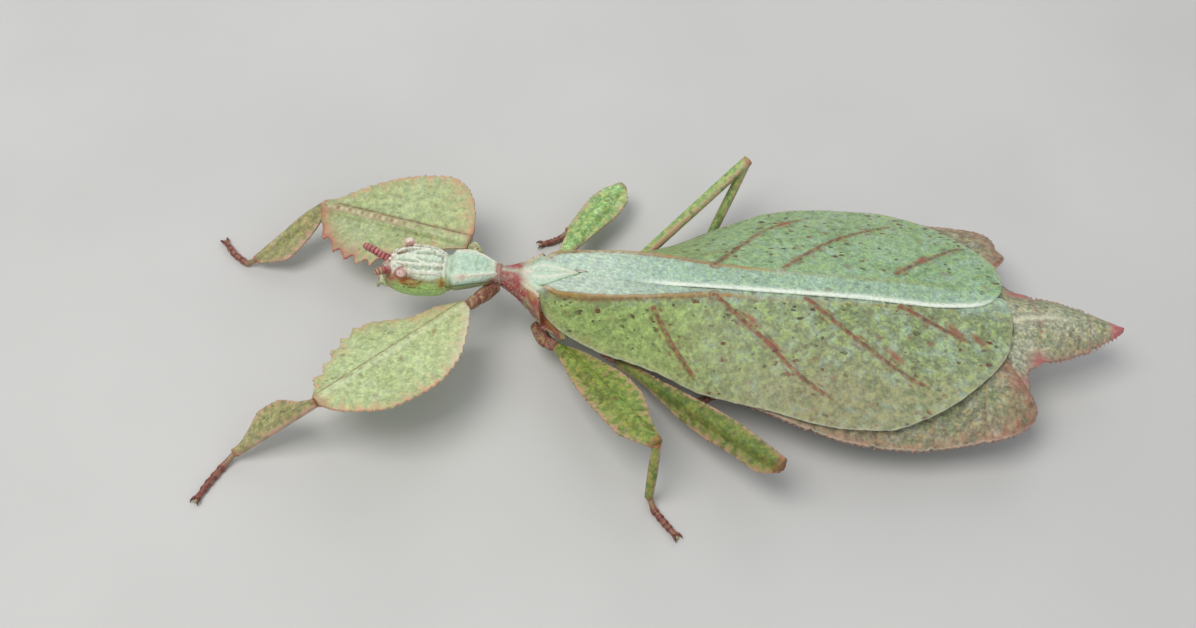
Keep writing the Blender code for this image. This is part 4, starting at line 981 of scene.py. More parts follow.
class LeafInsectStage(bpy.types.PropertyGroup):
    """Floor, camera and seed."""

    distance: size_knob("Camera Distance", "Distance of the camera from the insect", 0.2, 0.1, 1.0)
    elevation: FloatProperty(name="Camera Elevation", description="Angle above the floor",
                             default=math.radians(52), min=0, max=1.5, subtype="ANGLE")
    roll: FloatProperty(name="Camera Roll", description="Turn of the picture", default=math.radians(4.423),
                        subtype="ANGLE")
    lens: FloatProperty(name="Lens", description="Focal length in millimetres", default=42.47, min=10,
                        max=200)
    floor: colour_knob("Floor", "Colour of the floor", (0.62, 0.61, 0.59))
    seed: IntProperty(name="Seed", description="Seed of the uneven grains", default=7, min=0)


def wing_finish(settings, side):
    """The finish of one wing: the left one more olive and darker, the right one greener and brighter, partly
    painted shade and light.
    """
    wings = settings.leaf_insect_wings
    # Two copies of one green: the darker left wing and brighter right wing are painted shade and light,
    # besides their hue.
    tint, bright = ((0.95, 0.78, 0.80), 1.35) if side == "left" else ((1.08, 1.24, 1.22), 1.05)
    green, shade = (tuple(a * b for a, b in zip(colour, tint)) for colour in (wings.green, wings.shade))
    return leaf_finish("wing_skin_" + side, green, shade, (0.42, 0.34, 0.20), tuple(wings.vein),
                       tuple(wings.strip), tuple(bright * c for c in wings.base), (0.34, 0.05, 0.035),
                       fleck_amount=1.0, cream=(0.90, 0.95, 0.82))


class LEAFINSECT_OT_wings(bpy.types.Operator):
    """Build both fore wings with their veins, pale back strip and rims"""

    bl_idname = "leaf_insect.wings"
    bl_label = "Fore Wings"

    def execute(self, context):
        scene = context.scene
        for side in ("left", "right"):
            self.wing(side, scene.leaf_insect_wings, wing_finish(scene, side))
        return {"FINISHED"}

    def wing(self, side, sizes, finish):
        """One wing: its veins, lip and wavy skin, and the marks of its colours."""
        sign = 1 if side == "right" else -1
        rows, columns = 330, 110
        u = np.linspace(0, 1, rows)
        x_row = WING_FRONT + (WING_END[side] - WING_FRONT) * (1.12 * u - 0.12 * u ** 5)
        inner = curve(INNER_EDGE[side], x_row)
        outer = sign * curve(WING_HALF, x_row)
        if sign < 0:
            outer = outer + curve(LEFT_WING_PULL_IN, x_row)
        outer = outer - sign * 0.10 * (0.5 + 0.5 * ripple(x_row, 0 * x_row, 3.1)) * ease((x_row + 20) / 5)
        v = np.linspace(0, 1, columns)
        v = 0.75 * v + 0.25 * ease(v)
        x = np.repeat(x_row[:, None], columns, 1)
        y = inner[:, None] + (outer - inner)[:, None] * v[None, :]
        z = wing_top(x, y) - SKIN_DROP
        if sign < 0:
            lead = 0.35 + 0.9 * bell(x + 18.8, 1.0)
            z = z - OVERLAP_STEP * ease((y - (curve(INNER_EDGE["right"], x) - lead)) / 1.7)
        lying = np.minimum(z, section_top(MESOTHORAX, x, y) + 0.1)
        z = z + (lying - z) * (1 - ease((x - WING_FRONT) / 1.7))
        flat = np.stack([x, y, z], 2)
        border = np.vstack([flat[0], flat[:, -1], flat[-1], flat[:, 0]])
        free = np.vstack([flat[:, -1], flat[-1]])
        to_border = outline_distance(flat, border)
        to_free = outline_distance(flat, free)
        away = sign * y
        main = line_distance(x, away, MAIN_VEIN)
        strong = 1 - 0.75 * ease((x - (2 if sign < 0 else 6)) / 6)
        height = strong * bell(main, 0.36)
        amber = height * ease((37 - x) / 10)
        tint = 0.5 * strong * bell(main - 0.3, 0.12) * ease((4 - x) / 6)
        for n, vein in enumerate(BRANCH_VEINS[side]):
            gap, share = line_distance(x, away, vein, True)
            width = 0.42 - 0.14 * share
            fade = ease((1.02 - share) / 0.22)
            height = np.maximum(height, fade * 0.9 * bell(gap, width))
            split = 1 - 0.4 * bell(gap, 0.1)
            beside = 0.6 * bell(gap - 0.75, 0.2) * ease(np.sin(share * 31 + 2 * n) * 2 - 0.9)
            seen = 0.3 if side == "right" and n == 0 else 1.0
            tint = np.maximum(tint, seen * fade * np.maximum(split * bell(gap, 0.85 * width), beside))
        veinlets = self.veinlets(x, away)
        lip = bell(to_free - 0.15, 0.3)
        z = z + sizes.vein_height / MM * height + 0.07 * lip + 0.06 * veinlets
        z = z + 0.09 * ripple(x, y, 5.5, sign) * ease(to_border / 2.5)
        cream = 0.3 * bell(to_free, 0.12)
        strip = curve(STRIP_REACH, x)
        bars = ease(ripple(2.4 * x, 0.4 * y, 1.5) * 1.4 - 0.1) * bell(x + 3.0, 9.0)
        pale = (1 - 0.4 * bars) * ease((strip - away) / 0.8 + 0.5) * curve(STRIP_PALENESS, x)
        if sign > 0:
            near = np.abs(y - inner[:, None])
            ridge = bell(near - 0.2, 0.3) * ease((x + 7) / 6) * ease((41.5 - x) / 4)
            z = z + 0.17 * ridge
            cream = np.maximum(cream, bell(near - 0.3, 0.5) * ease((x + 12) / 8) * ease((41.8 - x) / 4))
        cream = np.maximum(cream, 0.5 * pale * ease((-4 - x) / 12) * (0.5 + 0.5 * ripple(x, y * 3, 3.0)))
        # Painted shadow of the slit between the overlapping wings, laid in as a dark line.
        tint = np.maximum(tint, bell(line_distance(x, y, SLIT_SHADOW), 0.12))
        # On the left wing only, the outer middle is tinted brown in streaks: brown specks, and also painted
        # shade on that slope.
        if sign < 0:
            brown = 0.11 * ease((away - 4) / 4) * ease((x + 10) / 8) * ease((30 - x) / 10)
            tint = np.maximum(tint, brown)
        red = np.zeros_like(x)
        for sx, sy in RED_SPOTS:
            lean = 0.64 * math.copysign(1, sy)
            along, across = 0.77 * (x - sx) + lean * (y - sy), lean * (x - sx) - 0.77 * (y - sy)
            red = np.maximum(red, 0.9 * bell(np.hypot(along / 3.2, across), 0.42))
        warm = ease((away - strip) / 1.5) * curve(BASE_WARMTH, x)
        tan = (0.5 if sign < 0 else 0.15) * ease((away - 9) / 7) * ease((x + 6) / 22)
        rim = np.maximum(0.6 * np.exp(-to_free / 0.5), tan)
        thickness = sizes.thickness / MM * (0.25 + 0.75 * dome(to_border / 1.4))
        marks = {
            "vein": tint * (1.3 + 0.5 * ripple(x, y, 1.7, 0.5)), "amber": amber, "pale": pale, "cream": cream,
            "margin": rim, "warm": warm, "red": red,
        }
        skin = thin_skin("wing_skin_" + side, grid(x, y, z), grid(x, y, z - thickness), marks)
        dress(skin, finish, "wing", "wing_" + side)

    def veinlets(self, x, away):
        """Faint side veins that run outward and back between the branches."""
        slant = x - 1.15 * away + 0.5 * np.sin(away * 0.9)
        lines = np.abs(np.mod(slant / 2.6, 1.0) - 0.5) * 2.6
        return bell(lines, 0.22) * ease((away - 3) / 2)


class LEAFINSECT_OT_abdomen(bpy.types.Operator):
    """Build the broad abdomen and its narrow tip, with segment lines and toothed pink margins"""

    bl_idname = "leaf_insect.abdomen"
    bl_label = "Abdomen"

    def execute(self, context):
        body = context.scene.leaf_insect_body
        finish = leaf_finish("abdomen_skin", tuple(body.skin), (0.26, 0.33, 0.17), tuple(body.margin),
                             (0.32, 0.13, 0.07), (0.50, 0.52, 0.39), (0.33, 0.32, 0.14), (0.44, 0.14, 0.12),
                             fleck_amount=0.75, contrast=1.5)
        self.broad(body, finish)
        finish = leaf_finish("tail_skin", (0.27, 0.285, 0.16), (0.25, 0.335, 0.17), (0.46, 0.20, 0.16),
                             (0.32, 0.13, 0.08), (0.50, 0.52, 0.39), (0.33, 0.32, 0.14), (0.50, 0.12, 0.13),
                             fleck_amount=0.75, contrast=1.5)
        self.tip(body, finish)
        return {"FINISHED"}

    def broad(self, body, finish):
        """The broad part, with segment lines and a lobe at each rear corner."""
        rows, columns = 330, 130
        tooth = body.serration / MM
        u = np.linspace(0, 1, rows)
        x_row = ABDOMEN_START + (ABDOMEN_END - ABDOMEN_START) * (1.18 * u - 0.18 * u ** 4)
        half = curve(ABDOMEN_HALF, x_row) + tooth * (saw(x_row, 1.05) - 0.6) * ease((x_row + 8) / 4)
        for line in SEGMENT_LINES:
            half = half - 0.22 * bell(x_row - line, 0.35)
        v = np.linspace(-1, 1, columns)
        reach = math.pi / 2 * 0.92
        across = np.sin(v * reach) / math.sin(reach)
        x = np.repeat(x_row[:, None], columns, 1)
        y = half[:, None] * across[None, :]
        ridge = curve(ABDOMEN_RIDGE, x)
        t = np.abs(y) / curve(ABDOMEN_HALF, x)
        z = ridge - (ridge - curve(ABDOMEN_EDGE_Z, x)) * np.minimum(t, 1.02) ** curve(ABDOMEN_SLOPE_POWER, x)
        place_x = abdomen_place(x, y)
        z = np.minimum(z, under_wings(place_x, y))
        to_edge = edge_distance(grid(x, y, z))
        grooves = np.maximum.reduce([bell(x - line - 0.02 * np.abs(y), 0.28) for line in SEGMENT_LINES])
        depth = 0.35 + 0.55 * dome(to_edge / 2.0)
        depth = depth + curve(BELLY_DEPTH, x) * np.maximum(0, 1 - (y / BELLY_HALF) ** 2) ** 0.7
        place_x = place_x - tooth * 0.8 * saw(np.abs(y), 0.9) * ease((x - 44.3) / 0.8)
        wave = 0.10 * ripple(x, y, 4.6, 0.7) * ease(to_edge / 1.5)
        fans = bell(np.abs(np.mod((x - 0.5 * np.abs(y)) / 2.1, 1.0) - 0.5) * 2.1, 0.2)
        relief = wave * 0.6 - 0.14 * grooves + 0.05 * fans * ease((np.abs(y) - 9) / 3)
        top = grid(place_x, y, z + np.minimum(relief, 0.1))
        plates = 0.16 * bell(np.abs(y) - 4.2, 0.5) + 0.2 * grooves * ease((9 - np.abs(y)) / 2)
        bottom = grid(place_x, y, z - depth + plates + 0.4 * wave)
        rear = ease((x - 38) / 6)
        margin = np.maximum(0.95 * np.exp(-to_edge / 0.55), 0.75 * np.exp(-to_edge / (1.2 + 2.6 * rear)))
        corner = bell(np.hypot(place_x - 43.6, y + 11.4), 1.2)
        red = 0.3 * rear * ease(ripple(x, y, 1.3, 2.2) * 1.5 - 0.4) + 0.5 * corner
        red = red + 0.5 * bell(to_edge, 0.3) * rear
        brown = 1.05 * (0.4 + 0.6 * rear) * np.exp(-to_edge / 3.0) * ease(0.6 + 0.7 * ripple(x, y, 2.1, 0.4))
        marks = {
            "margin": margin, "vein": brown + 0.35 * grooves + 0.2 * fans * ease((np.abs(y) - 10) / 3),
            "red": red, "cream": 0.35 * bell(to_edge, 0.12),
        }
        dress(thin_skin("abdomen_skin", top, bottom, marks), finish, "body", "abdomen")

    def tip(self, body, finish):
        """The narrow last segments, with a keel and red corners."""
        rows, columns = 170, 110
        tooth = body.serration / MM
        x_row = np.linspace(TAIL_START, TAIL_END, rows)
        half = curve(TAIL_HALF, x_row) + tooth * (saw(x_row, 0.62) - 0.7)
        for line in TAIL_LINES:
            half = half - 0.35 * bell(x_row - line - 0.35, 0.3) + 0.25 * bell(x_row - line + 0.45, 0.4)
        half = np.maximum(half, 0.2)
        v = np.linspace(-1, 1, columns)
        v = 0.7 * v + 0.3 * np.sin(v * math.pi / 2)
        x = np.repeat(x_row[:, None], columns, 1)
        y = half[:, None] * v[None, :]
        ridge, edge = curve(TAIL_RIDGE, x), curve(TAIL_EDGE_Z, x)
        t = np.abs(v)[None, :] * np.ones_like(x)
        share = (x - TAIL_START) / (TAIL_END - TAIL_START)
        y_place = y + curve(TAIL_DRIFT, x)
        x_place = tail_place(x, y_place)
        keel = 0.3 * bell(y, 0.5) * (1 - share) * ease((x_place - 44) / 1.5)
        z = np.minimum(ridge - (ridge - edge) * t ** 1.6, under_wings(x_place, y_place))
        to_edge = edge_distance(grid(x_place, y_place, z))
        grooves = np.maximum(bell(x - TAIL_LINES[0] + 0.03 * np.abs(y) ** 1.3, 0.22),
                             bell(x - TAIL_LINES[1] + 0.05 * np.abs(y) ** 1.3, 0.2))
        wave = 0.08 * ripple(x, y, 3.2, 2.0) * ease(to_edge / 1.2)
        depth = 0.3 + 0.4 * dome(to_edge / 1.3) + curve(TAIL_DEPTH, x) * (1 - t * t)
        top = grid(x_place, y_place, z + keel + wave - 0.13 * grooves)
        bottom = grid(x_place, y_place, z - depth + 0.12 * grooves)
        margin = np.maximum(0.9 * np.exp(-to_edge / 0.4), 0.2 * np.exp(-to_edge / 1.3))
        red = 0.85 * bell(np.hypot(x - 48.9, y_place + 6.5), 1.0) + ease((x - 57.6) / 1.4)
        red = np.maximum(red, 0.95 * bell(np.hypot((x - 47.8) / 1.6, y_place - 5.0), 0.8))
        red = np.maximum(red, 0.6 * bell(np.hypot(x - 46.0, np.abs(y_place) - 10.5), 1.1))
        middle = bell(y, 2.2) * ease((57 - x) / 6)
        blots = ease(ripple(x, y, 1.5, 0.6) * 1.5 - 0.2)
        dark = ease(ripple(x, y, 1.1, 3.0) * 1.6 - 0.5)
        cream = np.maximum(0.9 * bell(y - 0.3, 0.5) * ease((53 - x) / 3), 0.5 * blots * (1 - t * t))
        red = np.maximum(red, 0.5 * dark + 0.35 * blots * t * t)
        near = ease((-y_place - 3) / 2) * ease((51 - x) / 3)
        marks = {
            "margin": margin, "red": red, "pale": 0.1 + 0.85 * np.maximum(middle, near), "cream": cream,
            "vein": 0.45 * grooves + 0.35 * bell(np.abs(y) - 0.42, 0.18) * ease((54 - x) / 4),
        }
        dress(thin_skin("abdomen_tip_skin", top, bottom, marks), finish, "body", "abdomen_tip")


def body_rings(stations, rows, sides, limit=True):
    """Rings of the head or thorax through its stations, kept below the wings, and their angles."""
    x_row = np.linspace(stations[0][0], stations[-1][0], rows)
    half, top, bottom, waist = (c[:, None] for c in station_curves(stations, x_row, 1, 2, 3, 4))
    angle = (2 * math.pi * (np.arange(sides) + 0.5) / sides)[None, :]
    y = half * np.sign(np.cos(angle)) * np.abs(np.cos(angle)) ** ROUNDNESS
    rise = np.abs(np.sin(angle)) ** ROUNDNESS
    x = np.repeat(x_row[:, None], sides, 1)
    z = waist + rise * (top - waist)
    y = y + curve(BODY_ASIDE, x)
    if limit:
        z = np.minimum(z, under_wings(x, y))
    low = np.minimum(waist - rise * (waist - bottom), z - 0.4)
    z = np.where(np.sin(angle) < 0, low, z)
    upper = ease(np.sin(angle) * 1.6 + 0.2) * np.ones_like(x)
    return x, y * np.ones_like(x), z, upper


class LEAFINSECT_OT_thorax(bpy.types.Operator):
    """Build the shield behind the head, the thorax segments and the folds between them"""

    bl_idname = "leaf_insect.thorax"
    bl_label = "Thorax"

    def execute(self, context):
        body = context.scene.leaf_insect_body
        skin = leaf_finish("thorax_skin", (0.43, 0.61, 0.48), (0.34, 0.50, 0.42), (0.66, 0.36, 0.30),
                           (0.33, 0.10, 0.03), (0.68, 0.82, 0.66), (0.34, 0.40, 0.13), tuple(body.red),
                           fleck_amount=0.2, cell_size=1.7, net=0.1, cream=(0.86, 0.80, 0.64), contrast=0.5)
        self.shield(skin)
        self.middle(skin)
        self.scutellum(skin)
        self.rear(skin)
        self.folds(skin)
        return {"FINISHED"}

    def shield(self, skin):
        """The shield behind the head, with a raised rim and a furrow."""
        x, y, z, upper = body_rings(PROTHORAX, 170, 170)
        half, = station_curves(PROTHORAX, x, 1)
        off = y - curve(BODY_ASIDE, x)
        side = np.abs(off) / half
        rim = bell(side - 0.78, 0.10) * upper
        rear = bell(x + 30.0, 0.3) * upper
        front = bell(x + 35.5, 0.26) * upper
        furrow = bell(x + 32.2 + 0.12 * np.cos(off * 2), 0.32) * ease((0.62 - side) / 0.3) * upper
        mid = bell(off, 0.15) * upper * ease((x + 35.0) / 0.8)
        pits = np.maximum(bell(np.hypot(x + 34.0, np.abs(off) - 1.1), 0.42),
                          bell(np.hypot(x + 31.0, np.abs(off) - 0.7), 0.3)) * upper
        knobs = bell(np.hypot((x + 34.3) / 1.8, np.abs(off) - 2.5), 0.42) * upper
        z = z + 0.22 * rim + 0.12 * rear + 0.10 * front + 0.12 * knobs
        z = z - 0.2 * furrow - 0.12 * mid - 0.13 * pits + 0.06 * ripple(x, y, 1.1, 0.4) * upper
        below = ease((11.9 - z) / 0.8)
        neck = ease((x + 31.4) / 1.4)
        inside = ease((0.68 - side) / 0.3) * ease(0.55 + 0.6 * ripple(x, y, 2.4, 1.1))
        marks = {
            "cream": 0.8 * np.maximum(rim, 0.7 * rear) * (1 - knobs),
            "margin": 0.75 * knobs,
            "pale": upper * np.clip(0.9 - 0.6 * inside - 0.6 * furrow - 0.6 * pits - 0.4 * mid, 0, 1),
            "red": neck * below * 0.9,
            "vein": 0.35 * bell(x + 35.9, 0.12) * upper + 0.3 * below * neck,
            "warm": 0.85 * below * (1 - 0.5 * neck) + 0.35 * neck * upper,
        }
        dress(round_skin("shield_skin", grid(x, y, z), marks), skin, "head", "prothorax")

    def middle(self, skin):
        """The middle of the thorax: red neck and flanks and a pale plate on top."""
        x, y, z, upper = body_rings(MESOTHORAX, 180, 170)
        half, = station_curves(MESOTHORAX, x, 1)
        off = y - curve(BODY_ASIDE, x)
        side = np.abs(off) / half
        plate = ease((curve(PLATE_SHARE, x) - side) / 0.14) * upper
        rim = bell(side - curve(PLATE_RIM, x), 0.08) * upper
        open_top = ease((-22.8 - x) / 0.8)
        z = z + (0.12 * plate + 0.18 * rim - 0.16 * bell(off - 0.25, 0.2) * plate) * open_top
        z = z + 0.07 * ripple(x, y, 1.0, 1.4) * (1 - plate) + 0.05 * ripple(x, y, 1.3, 0.5) * plate * open_top
        bumps = 0.14 * np.maximum(0, ripple(x * 1.5, z * 1.5, 1.2, 0.3)) * (1 - upper)
        y = y + np.sign(off) * bumps
        neck = ease((-25.0 - x) / 1.4)
        flank = ease((side - 0.62) / 0.2) * ease((z - 5.5) / 1.5)
        patches = ease(0.5 + 0.9 * ripple(x, z, 2.6, 0.9))
        belly = ease((7.2 - z) / 1.5)
        red = np.maximum(neck * (0.95 - 0.25 * bell(off, 0.5) * upper), flank * (0.25 + 0.75 * patches))
        red = red * ease((side - 0.3) / 0.4 + neck)
        far = ease((off - 0.6) / 0.8) * upper * (1 - neck)
        lime = (0.8 * belly + 0.8 * ease((side - 0.5) / 0.3) * (1 - patches) * (1 - neck)
                + 0.45 * upper * (1 - neck) * ease((side - 0.3) / 0.25) + 0.45 * far)
        marks = {
            "red": np.clip(red * (1 - 0.6 * belly), 0, 1),
            "pale": plate * (1 - 0.8 * neck) * (1 - 0.7 * far),
            "amber": bell(side - 0.78, 0.15) * upper * ease((x + 26) / 1.5),
            "warm": np.clip(lime, 0, 1),
            "vein": 0.5 * flank * bell(patches - 0.5, 0.25),
            "cream": 0.65 * np.maximum(rim, bell(off, 0.45) * plate) * open_top * (1 - neck),
            "margin": 0.25 * neck * upper + 0.5 * bell(x + 25.3, 0.7) * upper,
        }
        dress(round_skin("mesothorax_skin", grid(x, y, z), marks), skin, "body", "mesothorax")

    def scutellum(self, skin):
        """Small pale plate that covers the roots of the wings."""
        u = np.linspace(SCUTELLUM[0][0], SCUTELLUM[-1][0], 110)
        v = np.linspace(-1, 1, 60)
        x = np.repeat(u[:, None], len(v), 1)
        half = curve(SCUTELLUM, x)
        y = half * v[None, :] - 0.1
        blend = ease((x + 24.4) / 1.4)
        roof = section_top(MESOTHORAX, np.minimum(x, -23.6), y) * (1 - blend) + wing_top(x, y) * blend
        edge = (1 - np.abs(v)[None, :]) * half
        ends = np.minimum(x - u[0], u[-1] - x)
        crown = dome(np.minimum(edge, ends) / 0.7)
        ridges = bell(np.abs(y + 0.1) - 0.45 * half, 0.22)
        groove = bell(y + 0.1, 0.16)
        z = roof - 0.1 + 0.28 * crown + 0.10 * ridges * crown - 0.1 * groove * crown
        marks = {
            "pale": 0.9 * crown, "cream": 0.75 * ridges * crown, "warm": 0.5 * (1 - crown),
            "vein": 0.25 * groove,
        }
        dress(thin_skin("scutellum", grid(x, y, z), grid(x, y, z - 0.12 - 0.4 * crown), marks), skin, "body")

    def rear(self, skin):
        """The rear of the thorax, mostly below the wings."""
        x, y, z, upper = body_rings(METATHORAX, 110, 150)
        lower = 1 - upper
        z = z + 0.2 * bell(y, 0.25) * lower + 0.1 * bell(x + 14.0, 0.4) * lower
        y = y + np.sign(y) * 0.12 * np.maximum(0, ripple(x, z, 1.3, 0.8)) * lower
        edge = bell(z - 6.2, 1.2) * ease((np.abs(y) - 5.5) / 1.2)
        marks = {"warm": 0.85 * lower, "margin": 0.5 * edge, "red": 0.35 * edge, "pale": 0.4 * upper}
        dress(round_skin("metathorax_skin", grid(x, y, z), marks), skin, "body", "metathorax")

    def folds(self, skin):
        """Soft skin between head and shield and between shield and thorax."""
        for name, stations in FOLDS.items():
            x, y, z, upper = body_rings(stations, 50, 120, limit=False)
            angle = np.arctan2(z - 10.6, y)
            wrinkle = np.sin((x - x[0]) * 9 + 0.6 * np.sin(angle * 7))
            seams = bell(wrinkle + 1, 0.3)
            if name == "waist_fold":
                marks = {"red": 0.95 - 0.2 * upper, "vein": 0.3 * seams}
            else:
                marks = {
                    "warm": np.maximum(0.9 - 0.7 * upper, ease((12.2 - z) / 0.6)), "vein": 0.5 * seams,
                    "pale": 0.45 * ease((z - 12.0) / 0.4),
                }
            rings = grid(x, y + 0.04 * wrinkle * np.cos(angle), z + 0.04 * wrinkle * np.sin(angle))
            dress(round_skin(name, rings, marks), skin, "head")


class LEAFINSECT_OT_head(bpy.types.Operator):
    """Build the head with its ridges, cheeks and jaws"""

    bl_idname = "leaf_insect.head"
    bl_label = "Head"

    def execute(self, context):
        body = context.scene.leaf_insect_body
        skin = leaf_finish("head_skin", (0.44, 0.58, 0.48), (0.31, 0.43, 0.39), (0.66, 0.36, 0.31),
                           (0.40, 0.13, 0.02), (0.84, 0.97, 0.77), (0.50, 0.74, 0.23), tuple(body.red),
                           fleck_amount=0.25, cell_size=2.0, net=0.1, cream=(0.95, 0.92, 0.80), contrast=0.5)
        self.capsule(skin)
        self.jaws(skin)
        return {"FINISHED"}

    def capsule(self, skin):
        """The head with its ridges, grooves, eye sockets and green cheeks."""
        x, y, z, upper = body_rings(HEAD, 250, 250, limit=False)
        off = y - curve(BODY_ASIDE, x)
        away = np.abs(off - 0.25 * ease((x + 44.5) / 2))
        away = away + 0.16 * ripple(x, y, 1.6, 0.7) + 0.09 * ripple(x, y, 0.7, 2.0)
        ridges, hollows = strokes(x, away, HEAD_RIDGES), strokes(x, away, HEAD_GROOVES)
        hollows = hollows * (1 - 0.6 * ridges)
        # The cleft is pressed in a little and painted dark further down: painted shade in the groove.
        cleft = bell(line_distance(x, y, HEAD_CLEFT), 0.19) * upper
        ridges = ridges * (1 - cleft)
        z = z + upper * (0.24 * ridges - 0.2 * hollows + 0.07 * ripple(x, y, 0.95, 1.2)) - 0.1 * cleft
        socket = np.maximum.reduce([bell(np.sqrt((x - ex) ** 2 + (y - ey) ** 2 + (z - ez) ** 2) - 0.95, 0.2)
                                    for ex, ey, ez in EYE_CENTRES.values()])
        z = z + 0.1 * socket * upper
        broken = ease(0.75 + 0.8 * ripple(x, y, 2.2, 1.9))
        cheek = ease((12.35 - z) / 0.5) * ease((np.abs(off) - 1.2) / 0.6)
        z = z + 0.05 * ripple(x, y, 1.4, 0.2) * (1 - upper)
        y = y + np.sign(off) * (0.06 * ripple(x * 1.2, z * 1.2, 1.2, 0.2) * cheek)
        flank = ease((np.abs(off) - 1.8) / 0.6)
        patch = bell(np.sqrt((x + 43.9) ** 2 + (np.abs(off) - 2.3) ** 2 + (z - 11.9) ** 2), 0.85)
        streak = 1.6 * bell(np.hypot((x + 41.8) / 1.7, (z - 11.75) / 0.95), 0.9) * flank
        thin = bell(line_distance(x, z, CHEEK_LINE), 0.4) * flank
        spot = bell(np.hypot((x + 37.1) * 1.6, z - 11.0), 0.9) * cheek
        face = ease((-43.5 - x) / 1.0)
        mask = ease(0.35 + 0.8 * ripple(x, y, 1.3, 2.0))
        crease = 0.5 * bell(line_distance(x, away, HEAD_CREASE), 0.13)
        crease = np.maximum(crease, 0.55 * bell(x + 36.95, 0.16))
        crease = crease * upper * (1 - 0.7 * ridges) * (1.2 - broken) + 0.9 * cleft
        # The brown of the cleft (through crease) and of the hollows, and the pale top held back in the
        # hollows, are painted shade in these grooves.
        brown = 0.95 * streak + 0.5 * thin + 0.9 * spot + crease + 0.2 * hollows * upper
        red = face * (0.35 + 0.6 * mask) + 1.3 * patch + 0.75 * socket * ease((-42.4 - x) / 0.5)
        marks = {
            "cream": ridges * upper * broken,
            "pale": upper * (1 - cheek) * np.clip(0.8 - 1.2 * hollows, 0, 1),
            "warm": cheek,
            "vein": np.clip(brown, 0, 1),
            "red": (1 - cleft) * np.clip(red, 0, 1) * (1 - 0.8 * ridges),
            "margin": np.clip(0.5 * mask * upper * (1 - cheek) * (0.35 + ridges) + 0.4 * socket, 0, 1),
        }
        dress(round_skin("head_skin", grid(x, y, z), marks, bulge=0.5), skin, "head", "head")

    def jaws(self, skin):
        """The jaws and the two short palps."""
        dx, dy, dz = ball(70, 90)
        lip = bell(dx + 0.55, 0.12) * ease((dz + 0.2) / 0.4)
        cleft = bell(dy, 0.07) * ease((0.3 - dz) / 0.4)
        grow = 1 + 0.06 * lip - 0.12 * cleft + 0.03 * ripple(dx * 3, dy * 3, 1.2)
        x, y, z = (c + s * d * grow for c, s, d in zip(JAW_CENTRE, JAW_SIZE, (dx, dy, dz)))
        marks = {"warm": 0.6, "red": 0.7 * bell(dx + 0.9, 0.5), "vein": 0.8 * cleft, "cream": 0.5 * lip}
        dress(round_skin("jaws_skin", grid(x, y, z), marks, bulge=0.02), skin, "head", "mouthparts")
        for side, sign in SIDES:
            cx, cy, cz = JAW_CENTRE
            path = [(cx + a, cy + sign * b, cz + c) for a, b, c in PALP_STEPS]
            shares = np.linspace(0, 1, 46)
            seams = nearest_gap(shares, PALP_SEAMS)
            radii = PALP_RADIUS * (1 - 0.35 * shares) * (1 - 0.22 * bell(seams, 0.03))
            radii = radii * round_end(shares, 0.86, 0.03)
            rings = limb_rings(along_path(path, shares), radii, 22)
            marks = {"warm": 0.5, "red": 0.6 * shares, "vein": 0.7 * bell(seams, 0.04)}
            dress(round_skin("palp_" + side, rings, marks), skin, "head")


class LEAFINSECT_OT_eyes(bpy.types.Operator):
    """Build the two faceted eyes"""

    bl_idname = "leaf_insect.eyes"
    bl_label = "Eyes"

    def execute(self, context):
        body = context.scene.leaf_insect_body
        finish = eye_finish("eye_facets", tuple(body.eye))
        radius = body.eye_radius / MM
        for side, sign in SIDES:
            dx, dy, dz = ball(48, 64)
            x, y, z = EYE_CENTRES[side]
            rings = np.stack([x + radius * 1.05 * dx, y + radius * 0.9 * dy, z + radius * 0.9 * dz], 2)
            # The lower half of each eye is darkened through the dark mark: painted shade under the eye.
            lower = ease((-dz - 0.1) / 0.5)
            dot = bell(np.sqrt((dx + 0.3) ** 2 + (dy - sign * 0.6) ** 2 + (dz - 0.74) ** 2), 0.22)
            marks = {"vein": np.maximum(0.8 * lower, 0.55 * dot)}
            dress(round_skin("eye_globe_" + side, rings, marks, bulge=0.02), finish, "eye", "eye_" + side)
        return {"FINISHED"}


class LEAFINSECT_OT_feelers(bpy.types.Operator):
    """Build the two short feelers of nine joints"""

    bl_idname = "leaf_insect.feelers"
    bl_label = "Feelers"

    def execute(self, context):
        finish = horn_finish("feeler_skin", (0.34, 0.06, 0.07), (0.62, 0.22, 0.21), 0.42)
        for side, path in ANTENNAE.items():
            shares = np.linspace(0, 1, 150)
            gap = nearest_gap(shares, FEELER_SEAMS)
            radii = curve(FEELER_RADII, shares) * (1 - 0.26 * bell(gap, 0.012))
            radii = radii * round_end(shares, 0.93, 0.02)
            rings = limb_rings(along_path(path, shares), radii, 28)
            paleness = 0.55 if side == "left" else 0.15
            marks = {"vein": 0.8 * bell(gap, 0.014), "pale": paleness * ease((shares - 0.5) / 0.3)}
            dress(round_skin("feeler_" + side, rings, marks), finish, "joint", "antenna_" + side)
        return {"FINISHED"}


def blade_frame(start, end, roll):
    """Direction, side and upward axis of a leg segment, and its length."""
    start, end = np.array(start, float), np.array(end, float)
    length = np.linalg.norm(end - start)
    along = (end - start) / length
    level = np.cross((0, 0, 1.0), along)
    level /= np.linalg.norm(level)
    angle = math.radians(roll)
    aside = math.cos(angle) * level + math.sin(angle) * np.cross(along, level)
    return start, along, aside, np.cross(along, aside), length


